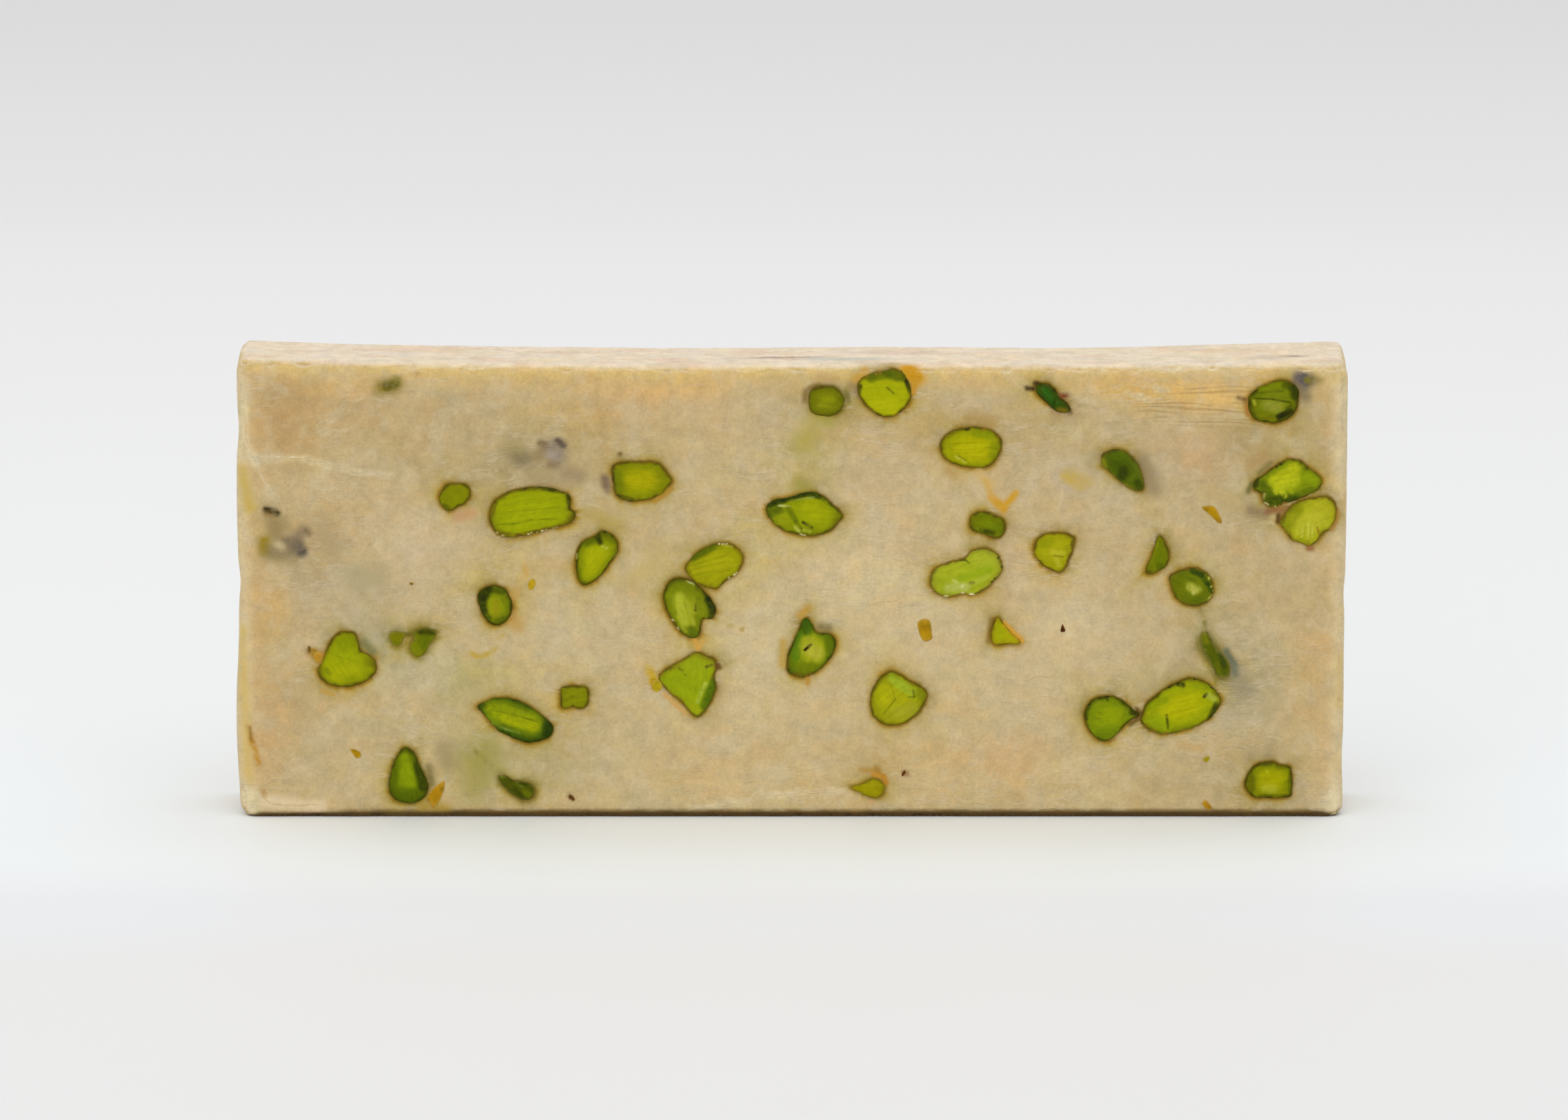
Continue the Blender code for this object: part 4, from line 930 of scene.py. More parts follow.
def paveSide(width, height, cuts, step, seed, ringStep, coarse=1.0):
    # points and triangles of one side, from -width/2 to width/2 and from 0 to height
    chooser = random.Random(seed)
    edge, half = barForm["edgeStep"], width / 2
    across, up = round(width / edge), round(height / edge)
    border = [(-half + width * index / across, 0.0) for index in range(across)]
    border += [(half, height * index / up) for index in range(up)]
    border += [(half - width * index / across, height) for index in range(across)]
    border += [(-half, height - height * index / up) for index in range(up)]
    points, rooms = list(border), [0.0] * len(border)
    for row, inset in enumerate(barForm["edgeRows"]):
        wide, tall = width - 2 * inset, height - 2 * inset
        if min(wide, tall) < 1:
            break
        size = edge * (1 + 0.12 * row) * coarse
        across, up = round(wide / size), round(tall / size)
        for index in range(across):
            shift = (index + 0.5 * (row % 2)) / across * wide
            points += [(-wide / 2 + shift, inset), (wide / 2 - shift, height - inset)]
        for index in range(up):
            shift = (index + 0.5 * (row % 2)) / up * tall
            points += [(wide / 2, inset + shift), (-wide / 2, height - inset - shift)]
    rooms += [0.22] * (len(points) - len(rooms))
    for shift in barForm["rings"]:
        for cut in cuts:
            if shift < 0 and cut.curveRadius.min() + shift < 0.4:
                continue
            for x, z in cut.ring(ringStep, shift):
                if abs(x) < half - 0.15 and 0.15 < z < height - 0.15:
                    points.append((x, z))
                    rooms.append(0.11 + 0.1 * abs(shift))
    rise = step * math.sqrt(3) / 2
    for row in range(1, int(height / rise)):
        for column in range(int(width / step) + 1):
            x = -half + (column + 0.5 * (row % 2)) * step + chooser.uniform(-0.12, 0.12) * step
            z = row * rise + chooser.uniform(-0.12, 0.12) * step
            if abs(x) < half - 2.2 and 2.2 < z < height - 2.2:
                points.append((x, z))
                rooms.append(step * 0.55)
    kept = crowdedOut(points, rooms)
    result = delaunay_2d_cdt([Vector(points[index]) for index in kept], [], [], 0, 1e-6)
    return [tuple(point) for point in result[0]], result[2]


def paveBar():
    form = barForm
    length, height, thick, plain = form["length"], form["height"], form["thickness"], form["plainRingStep"]
    coarse = 1.0
    byPlace = {place: [cut for cut in kernels if cut.place == place] for place in faces}
    sides = (
        (length, height, byPlace["front"], form["frontStep"], form["ringStep"], 1.0, lambda u, v: (u, -thick / 2, v)),
        (length, height, byPlace["back"], form["backStep"], plain, 1.3, lambda u, v: (-u, thick / 2, v)),
        (thick, height, byPlace["left"], form["sideStep"], plain, 1.3, lambda u, v: (-length / 2, -u, v)),
        (thick, height, byPlace["right"], form["sideStep"], plain, 1.3, lambda u, v: (length / 2, u, v)),
        (length, thick, [], form["topStep"], plain, 1.2, lambda u, v: (u, v - thick / 2, height)),
        (length, thick, [], form["footStep"], plain, 1.6, lambda u, v: (u, thick / 2 - v, 0.0)),
    )
    vertices, triangles = [], []
    for seed, (width, tall, cuts, step, ringStep, rowsCoarse, lift) in enumerate(sides):
        points, faceList = paveSide(width, tall, cuts, step * coarse, seed, ringStep * coarse, rowsCoarse)
        offset = len(vertices)
        vertices += [lift(u, v) for u, v in points]
        triangles += [[corner + offset for corner in face] for face in faceList]
    vertices = np.array(vertices)
    _, first, same = np.unique(np.round(vertices, 3), axis=0, return_index=True, return_inverse=True)
    same = same.ravel()
    mesh = bpy.data.meshes.new("paved bar")
    faceList = [[int(same[corner]) for corner in face] for face in triangles]
    mesh.from_pydata([tuple(point * mm) for point in vertices[first]], [], faceList)
    mesh.validate()
    mesh.update()
    return mesh


def sizeTree(name, sizes):
    # a geometry tree with one named input for each size
    tree = bpy.data.node_groups.new(name, "GeometryNodeTree")
    tree.interface.new_socket("Geometry", in_out="INPUT", socket_type="NodeSocketGeometry")
    for size, value in sizes.items():
        kind = "NodeSocketVector" if isinstance(value, tuple) else "NodeSocketFloat"
        tree.interface.new_socket(size, in_out="INPUT", socket_type=kind)
    tree.interface.new_socket("Geometry", in_out="OUTPUT", socket_type="NodeSocketGeometry")
    board = Board(tree)
    entry = tree.nodes.new("NodeGroupInput")
    return tree, board, {socket.name: Wire(board, socket) for socket in entry.outputs if socket.name}


def keptWithin(board, geometry, size):
    # nothing passes the solids' box
    low = board.vector("MAXIMUM", board.add("GeometryNodeInputPosition"), size["Lowest"])
    within = board.vector("MINIMUM", low, size["Highest"])
    return board.add("GeometryNodeSetPosition", None, {0: geometry, "Position": within})


def closeTree(board, geometry, material):
    # what a tree has made is given its material
    dressed = board.add("GeometryNodeSetMaterial", None, {"Geometry": geometry, "Material": material})
    board.tree.links.new(dressed.socket, board.tree.nodes.new("NodeGroupOutput").inputs[0])


def runTree(name, mesh, tree, sizes):
    carrier = shown(bpy.data.objects.new(name + " carrier", mesh))
    modifier = carrier.modifiers.new(name, "NODES")
    modifier.node_group = tree
    for socket in tree.interface.items_tree:
        if socket.in_out == "INPUT" and socket.name in sizes:
            modifier[socket.identifier] = sizes[socket.name]
    graph = bpy.context.evaluated_depsgraph_get()
    made = bpy.data.meshes.new_from_object(carrier.evaluated_get(graph))
    carrier.modifiers.clear()
    bpy.data.objects.remove(carrier)
    return made


boxGap = 0.03 * mm
barSizes = {
    "Lowest": tuple(place + boxGap for place in cadBox[0]), "Highest": tuple(place - boxGap for place in cadBox[1]),
    "Half Length": barForm["length"] / 2 * mm, "Height": barForm["height"] * mm,
    "Half Thickness": barForm["thickness"] / 2 * mm, "Face Inset": barForm["faceInset"] * mm,
    "Arris": 1.1 * mm, "Front Arris": 1.0 * mm, "Foot Arris": 0.7 * mm, "Corner": 0.3 * mm, "Foot Corner": 1.3 * mm,
    "Left Rise": barForm["leftRise"] * mm, "Left Start": barForm["leftStart"] * mm, "Right Rise": 1.1 * mm,
    "Right Start": 45.0 * mm, "Relief": 0.1 * mm, "Wear": 0.7 * mm,
}


def makeBarTree():
    tree, board, size = sizeTree("shape the bar", barSizes)
    position = board.add("GeometryNodeInputPosition")
    x, y, z = board.parts(position)
    half, height, thick = size["Half Length"], size["Height"], size["Half Thickness"]
    top = (z / height).step(0.6, 1.0)
    nearEnd = ((x.work("ABSOLUTE") - half) / (3 * mm)).step(-1.0, 0.0)
    wavy = board.grain(position, 110.0, 2.0, 0.5)
    chipped = board.grain(position, 420.0, 3.0, 0.6)
    upper = size["Arris"] + size["Front Arris"] * (y / thick).step(0.1, -0.5)
    radius = size["Foot Arris"] + (upper - size["Foot Arris"]) * (z / height).step(0.01, 0.08)
    radius = radius + size["Corner"] * nearEnd * top + size["Foot Corner"] * nearEnd * (z / height).step(0.07, 0.02)
    radius = radius * (0.75 + wavy * 0.5)

    # each place moves to the nearest round of its edge
    coreX = x.work("MINIMUM", half - radius).work("MAXIMUM", radius - half)
    coreY = y.work("MINIMUM", thick - radius).work("MAXIMUM", radius - thick)
    coreZ = z.work("MINIMUM", height - radius).work("MAXIMUM", radius)
    core = board.joined(coreX, coreY, coreZ)
    away = board.vector("SUBTRACT", position, core)
    outward = board.vector("NORMALIZE", away)
    outX, outY, outZ = board.parts(outward)
    flatness = outX.work("ABSOLUTE").work("MAXIMUM", outY.work("ABSOLUTE")).work("MAXIMUM", outZ.work("ABSOLUTE"))
    onArris = (1 - flatness).step(0.02, 0.3)
    worn = (chipped.step(0.5, 0.78) * 0.6 + wavy.step(0.45, 0.8) * 0.4) * onArris * size["Wear"]
    relief = (board.grain(position, 160.0, 3.0, 0.55) + board.grain(position, 900.0, 2.0, 0.5) * 0.3) * size["Relief"]
    sink = worn + relief * (1 - outZ.step(-0.5, -0.9)) + size["Face Inset"] * outY.work("ABSOLUTE")
    reach = radius - sink
    pushed = board.scaled(outward, reach)
    shaped = board.vector("ADD", core, pushed)

    # the top lifts towards the left end, and at the back towards the right end; the ends are wavy
    depth = (y / thick + 1) * 0.5
    left = ((0 - x - size["Left Start"]).work("MAXIMUM", 0.0) / (half - size["Left Start"])) ** 1.5 * size["Left Rise"]
    right = ((x - size["Right Start"]).work("MAXIMUM", 0.0) / (half - size["Right Start"])) ** 1.5
    ripple = (x / (9 * mm)).work("SINE") * 0.08 * mm
    lift = (left + right * size["Right Rise"] * depth + ripple) * (z / height).step(0.8, 1.0)
    leftWave = (z / (6.5 * mm)).work("SINE") * 0.12 * mm + bell(z, 17, 12) * 0.55 * mm
    leftWave = leftWave - bell(z, 62, 3.0) * 0.35 * mm - bell(z, 38, 2.5) * 0.3 * mm
    rightWave = (z / (8 * mm) + 1).work("SINE") * 0.12 * mm - bell(z, 36, 2.5) * 0.2 * mm - bell(z, 9, 5.0) * 0.3 * mm
    rightWave = rightWave + 0.25 * mm
    pull = rightWave * (x / half).step(0.95, 1.0) - leftWave * (0 - x / half).step(0.95, 1.0)
    offset = board.joined(pull, 0.0, lift)
    moved = board.add("GeometryNodeSetPosition", None, {0: size["Geometry"], "Position": shaped, "Offset": offset})
    closeTree(board, keptWithin(board, moved, size), pasteMaterial)
    return tree


def bell(wire, middle, width):
    share = (wire - middle * mm) / (width * mm)
    return (0 - share * share).work("EXPONENT")


# What is painted on the paste, by side: broad soft spots (across, up, half width, half height, colour,
# strength), stains (start, end, half width, colour, strength) and pale ridges

ridgeLines = (
    ((-3.4, 3.5), (1.5, 4), (7.9, 4.1)), ((-16.4, 1.2), (-9, 2.2), (-6.5, 2.6), (-4.9, 4.3)), ((-84.4, 3.9),
    (-82.6, 2.3), (-80.5, 2), (-74.3, 1.9)), ((-86, 66), (-85.9, 61.2), (-84.1, 56.9), (-82, 52)), ((-85.1, 58.2),
    (-76.8, 58), (-73.1, 56.9), (-67.8, 55.6), (-62.9, 55.3)), ((52.6, 68.4), (54.6, 68), (56.4, 67.2)), ((57, 69.4),
    (58.2, 68.6), (59.4, 68.9)),
)

# broad places that are a little lighter or darker: middle, half width, half height and what is added
frontTouches = (
    (0, 16, 80, 30, (4, 5, 4)), (0, 4, 84, 6, (4, 4, 3)), (15, 34, 12, 8, (3, 4, 4)),
    (-84, 46, 6, 8, (-13, -12, -14)), (-76, 44, 6, 5, (-12, -12, -11)), (-66, 26, 7, 5, (-14, -5, 3)),
    (-40, 57, 12, 5, (-11, -9, -9)), (-50, 20, 8, 5, (-8, -5, -11)), (-46, 38, 8, 6, (-4, -3, -15)),
    (-14, 38, 9, 6, (-2, -3, -20)), (-3, 45, 8, 5, (0, 0, -16)), (55, 19, 8, 5, (-12, -8, -8)),
    (66, 22, 8, 7, (-15, -13, -10)), (67, 32, 6, 5, (-8, -6, -6)), (75, 6, 8, 6, (-18, -17, -16)),
    (84, 53, 4, 6, (-16, -14, -24)), (75, 50, 7, 5, (-13, -10, -8)), (75, 62, 7, 5, (-11, -9, -11)),
    (55, 56, 6, 5, (-11, -5, 2)), (24, 62, 6, 4, (-8, -12, -24)), (5, 67, 7, 4, (-16, -14, -20)),
    (-25, 67, 18, 4, (10, 6, 3)), (45, 4, 8, 6, (10, 11, 12)), (-5, 22, 14, 16, (3, 3, 4)),
    (0, 71, 90, 2.5, (5, 3, -6)), (-36, 64, 8, 5, (-5, -7, -15)), (-76, 20, 7, 5, (-6, -7, -8)),
    (40, 3, 8, 3, (-6, -8, -11)), (45, 30, 6, 5, (4, 7, 9)), (12, 38, 6, 5, (5, 4, 0)),
    (66, 68.5, 9, 2.5, (11, 10, 7)), (35, 10, 6, 4, (2, -4, -4)), (45, 55, 4, 3, (0, 4, 18)),
    (20, 8, 30, 6, (0, -3, -5)),
)

frontSpots = (
    (-79, 64, 7, 9, (186, 154, 102), .9), (-66, 64, 9, 6, (188, 163, 114), .7), (-52, 58, 12, 9, (185, 163, 116), .7),
    (-70, 53, 8, 4, (198, 175, 130), .6), (-72, 47, 7, 4, (196, 166, 112), .7), (-64, 43, 8, 5, (198, 172, 120), .4),
    (-58, 44, 8, 7, (202, 182, 146), .6), (-72, 36, 9, 6, (184, 166, 128), .6), (-67, 31, 8, 4, (178, 164, 130), .4),
    (-56, 24, 8, 6, (188, 174, 136), .6), (-83, 34, 4, 7, (200, 166, 104), .8), (-82, 14, 5, 9, (196, 164, 112), .7),
    (-72, 10, 8, 7, (194, 173, 130), .6), (-62, 15, 9, 5, (184, 166, 122), .5), (-50, 8, 6, 7, (168, 154, 92), .8),
    (-48, 24, 7, 3, (184, 166, 102), .5), (-38, 10, 8, 7, (178, 161, 118), .7), (-36, 30, 9, 7, (196, 178, 138), .6),
    (-24, 38, 7, 6, (196, 176, 132), .5), (-27, 63, 10, 4, (188, 162, 112), .6), (-24, 12, 8, 7, (194, 172, 128), .5),
    (-14, 8, 9, 5, (196, 167, 116), .6), (-8, 55, 9, 6, (198, 178, 128), .5), (2, 57, 5, 6, (180, 164, 94), .7),
    (7, 62, 4, 5, (184, 164, 100), .5), (-4, 30, 8, 12, (198, 180, 138), .7), (10, 42, 9, 10, (203, 184, 144), .8),
    (22, 52, 8, 5, (202, 180, 134), .6), (22, 27, 7, 9, (200, 178, 136), .6), (24, 10, 9, 5, (200, 174, 124), .7),
    (14, 9, 6, 5, (188, 164, 114), .6), (34, 63, 8, 4, (185, 160, 108), .6), (36, 20, 8, 10, (198, 176, 134), .7),
    (44, 32, 8, 8, (200, 177, 133), .7), (45, 52, 8, 7, (196, 175, 132), .6), (56, 25, 7, 6, (194, 171, 126), .4),
    (50, 5, 10, 4, (184, 161, 114), .6), (62, 6, 8, 4, (182, 160, 115), .6), (60, 59, 7, 5, (196, 166, 120), .6),
    (66, 59, 6, 4, (196, 164, 118), .5), (72, 60, 5, 6, (180, 156, 106), .5), (73, 44, 5, 8, (188, 166, 120), .5),
    (73, 22, 6, 10, (178, 162, 122), .7), (82, 60, 4, 8, (178, 158, 108), .7), (82, 22, 4, 12, (196, 166, 112), .7),
    (80, 36, 5, 6, (188, 164, 118), .5), (48, 70, 9, 3, (208, 182, 128), .4),
    (64, 68.5, 15, 3.4, (212, 172, 98), .85), (52, 69, 6, 2, (214, 174, 96), .5),
    (-71, 69, 6, 1.6, (214, 172, 104), .5), (-20, 69, 12, 2, (208, 172, 112), .6),
    (20, 40, 30, 25, (202, 180, 138), .25), (0, 18, 20, 8, (198, 176, 130), .3), (33, 42, 4, 8, (202, 168, 130), .4),
)

frontStains = (
    (-64.4, 69.4, -62, 69.8, 1.4, (140, 122, 36), .7), (-63.5, 69.6, -62.3, 69.9, .8, (98, 92, 0), 1),
    (-62.2, 70.5, -61.8, 70.6, .6, (116, 118, 20), .6), (-59, 71.4, -58.9, 71.4, .3, (180, 130, 50), .7),
    (-82.8, 49.7, -81, 49.2, .5, (48, 42, 6), 1), (-82.8, 49, -82, 48.8, .4, (150, 112, 40), .5),
    (-81.5, 47.5, -80.5, 45, 1.6, (146, 128, 86), .6), (-83.2, 44.6, -83.1, 43.2, .9, (150, 130, 30), .9),
    (-82, 43, -79, 42.8, 1.4, (136, 122, 88), .6), (-78, 44.2, -77.2, 43, .9, (92, 84, 76), .9),
    (-78.2, 44.9, -76.9, 46.4, .9, (128, 114, 92), .6), (-76.4, 46.4, -76, 45.9, .4, (106, 84, 60), .7),
    (-79.4, 44.6, -78.6, 43.6, 1, (122, 110, 88), .7), (-81, 44.2, -80.4, 43.8, .7, (206, 190, 150), .6),
    (-79.8, 45.9, -79.2, 46, .6, (178, 160, 118), .5), (-74, 47, -72, 44, 2.4, (172, 158, 124), .4),
    (-43.2, 58.2, -42, 57.8, 1.5, (134, 122, 92), .7), (-44.3, 59.4, -43, 59.6, 1.4, (160, 146, 96), .5),
    (-38.2, 59.6, -36.8, 58.6, 1.6, (146, 134, 118), .7), (-38, 56.9, -37, 56.8, .7, (126, 108, 80), .7),
    (-36.8, 60.8, -35.8, 60, .5, (96, 84, 74), .8), (-39.6, 60.6, -38.8, 60.2, .3, (110, 92, 60), .8),
    (-38.2, 58.6, -37.4, 58.3, .6, (170, 156, 146), .6), (-40, 58, -39.2, 59.8, 1, (142, 124, 84), .5),
    (-40.5, 55, -36, 54.6, 2, (168, 152, 118), .4), (-69, 39.2, -65.6, 38.4, 2.6, (164, 156, 122), .4),
    (82, 70.8, 83, 70.4, .7, (150, 134, 76), .6), (79.8, 69.6, 80.8, 67.8, .9, (126, 114, 90), .6),
    (9.6, 69.4, 10.6, 68.6, .9, (150, 130, 92), .6), (33.4, 49.8, 31.7, 51.6, .6, (202, 156, 44), .9),
    (31.7, 51.6, 30.6, 54.4, .5, (204, 164, 84), .7), (33.5, 50, 35.4, 52.4, .5, (204, 158, 44), .9),
    (31, 54, 29.5, 55.5, .9, (206, 176, 108), .5), (38.3, 70, 38.8, 69.8, .35, (56, 40, 14), .95),
    (37, 69.2, 37.9, 69.1, .22, (60, 44, 16), .9), (42.4, 67.9, 43.2, 68, .5, (122, 66, 34), .8),
    (43.6, 65.4, 43.9, 65.2, .3, (60, 44, 16), .8), (-50.6, 26.6, -49.6, 26, .3, (190, 160, 60), .7),
    (-49.6, 26, -48.3, 26.3, .25, (190, 160, 60), .6), (-48.3, 26.3, -46.6, 27.4, .22, (186, 160, 66), .6),
    (-46.2, 29, -45.4, 29.6, .3, (190, 164, 70), .5), (-74.3, 26.2, -73.6, 24.4, .7, (176, 130, 62), .7),
    (-75.6, 27.1, -75.4, 26.3, .28, (120, 84, 30), .9), (-44.5, 32.6, -43.4, 31, 1.2, (190, 148, 74), .5),
    (-44.6, 35.4, -43.4, 36.4, .8, (196, 158, 86), .5), (-52.6, 48.6, -50.2, 49.2, .9, (196, 150, 104), .5),
    (-42, 40.6, -41.8, 39.2, .35, (200, 160, 70), .6), (-35, 55.6, -33.4, 55, 1.2, (150, 132, 104), .5),
    (-29.6, 54.9, -29.3, 53.6, .7, (124, 104, 76), .6), (2, 60.6, 4.5, 64.6, 2, (172, 160, 70), .5),
    (1.4, 54, 2.2, 53.4, 1.4, (150, 146, 60), .5), (-20.4, 44, -25, 38, 1.6, (190, 168, 96), .3),
    (-27, 47, -32, 49, 1.2, (178, 158, 84), .5), (-47.6, 11.6, -49.8, 9, 2.6, (158, 152, 74), .5),
    (-50.4, 4.6, -47, 8, 2, (160, 154, 80), .4), (-58.5, 1.6, -55, 1.4, 1.2, (170, 144, 40), .6),
    (-54.4, 8.8, -55, 11.5, 1.6, (146, 132, 96), .4), (70.4, 23.4, 71.6, 21, 1.8, (150, 142, 118), .5),
    (55.4, 57.4, 57.2, 53, 1.4, (146, 130, 104), .5), (46.8, 57.2, 48.4, 58.6, 1, (160, 146, 110), .4),
    (41.8, 65, 44.2, 64.6, 1.3, (178, 158, 124), .5), (28.5, 64.2, 31.6, 63.8, 1.2, (176, 146, 84), .5),
    (24.6, 56, 25.6, 55.4, .9, (180, 146, 78), .5), (53.6, 16.6, 55, 16.4, .5, (96, 74, 28), .8),
    (-22.4, 23.6, -21.6, 22.2, .7, (196, 166, 50), .7), (-23, 24.6, -22.6, 24, .4, (196, 170, 80), .5),
    (72.5, 57, 74.5, 58.4, 1.2, (168, 140, 90), .5), (72.4, 49.6, 74.6, 49.2, 1, (140, 120, 90), .6),
    (46.4, 54.2, 44, 55.4, 1.3, (190, 166, 84), .6), (43, 55, 45.6, 53.2, .8, (194, 168, 76), .5),
    (-87, 30, -86, 6, .9, (206, 178, 96), .5), (-86.4, 56, -85.4, 50, .9, (196, 170, 80), .6),
    (-85.6, 13, -84.4, 8.6, .45, (186, 140, 50), .8), (-85.9, 14.6, -85.5, 12.4, .35, (150, 110, 40), .8),
    (-83.9, 4.4, -83.5, 3.4, .25, (170, 124, 50), .7), (87, 26, 86.6, 18, .7, (206, 182, 120), .5),
    (-83, 2.4, -75, 1.6, 1.2, (226, 206, 172), .7), (-35.3, 3.5, -34.6, 2.8, .35, (130, 92, 50), .8),
    (17.8, 7.3, 18.4, 6.9, .35, (140, 96, 54), .8), (11, 7.6, 14, 7.8, .4, (176, 138, 60), .7),
    (13.4, 8, 14.2, 6.6, .3, (160, 124, 50), .7), (62, 11.8, 65, 11, .7, (196, 158, 90), .4),
)

topSmudges = (  # across, depth from the front, half lengths, colour, strength
    (-1.5, -1, 6.5, .9, (142, 118, 112), .75), (-6, -1.6, 5, .6, (170, 146, 130), .5),
    (9, -3, 8, 1.6, (178, 182, 166), .7), (12.5, 3.5, 10, 1.6, (206, 196, 184), .5),
    (79, -2, 2.6, .9, (138, 130, 120), .7), (74, -3, 4, 1.6, (190, 180, 164), .6),
    (70, 3, 12, 1.8, (222, 194, 160), .5), (84, -6, 2.6, 1.4, (196, 190, 140), .5),
    (30, 3, 20, 1.6, (220, 204, 182), .4), (-30, 4, 20, 1.6, (228, 206, 184), .4),
    (-70, 4, 16, 1.4, (228, 202, 176), .4), (45, -1, 8, 1.2, (206, 198, 184), .5),
    (-55, -4, 5, .7, (214, 204, 190), .6),
)

backSpots = (
    (-70, 40, 14, 16, (186, 160, 110), .6), (-40, 25, 16, 10, (200, 180, 138), .6),
    (-10, 50, 18, 12, (188, 166, 116), .5), (20, 12, 16, 9, (184, 162, 112), .6),
    (40, 52, 14, 10, (202, 182, 140), .6), (70, 20, 12, 14, (190, 164, 112), .6),
    (74, 62, 10, 7, (208, 172, 104), .6), (0, 34, 12, 8, (204, 184, 144), .5), (-55, 8, 9, 6, (172, 156, 98), .5),
)

backStains = (
    (-62, 50, -60, 48, 1.6, (140, 126, 108), .7), (-8, 24, -5, 25, 1.8, (152, 142, 108), .6),
    (36, 36, 38, 34, 1.3, (196, 150, 60), .6), (72, 52, 73, 50.5, 1, (120, 108, 92), .6),
    (-36, 34, -34, 30, 1.4, (182, 160, 84), .5), (54, 10, 58, 9, 1.4, (170, 154, 84), .5),
    (12, 66, 16, 65, 1.2, (204, 160, 60), .5), (-80, 10, -79, 14, .8, (190, 146, 60), .6),
)


class StainAndShade:
    # colours with their own cover, stains and painted shade, laid over one another
    def __init__(self, count):
        self.colors, self.cover = np.zeros((count, 3)) + pastePaint["base"], np.zeros(count)

    def over(self, shade, mask, chosen=slice(None)):
        mask = np.clip(mask, 0, 1)
        rest = self.cover[chosen] * (1 - mask)
        total = mask + rest
        mixed = np.outer(mask, shade) + self.colors[chosen] * rest[:, None]
        known = total[:, None] > 1e-4
        self.colors[chosen] = np.where(known, mixed / np.maximum(total, 1e-4)[:, None], self.colors[chosen])
        self.cover[chosen] = total


def spilledAndShaded(place):
    # the stains that kernels left round them, and the painted shade beside some, in millimetres
    found = []
    for cut in kernels:
        if cut.place == place:
            reach = cut.half * kernelForm["reachShare"]
            for *ends, width, shade, strength in cut.look.get("spillsAndShade", ()):
                ends = [end * reach + cut.middle[index % 2] for index, end in enumerate(ends)]
                found.append((*ends, width * reach, shade, strength))
    return tuple(found)


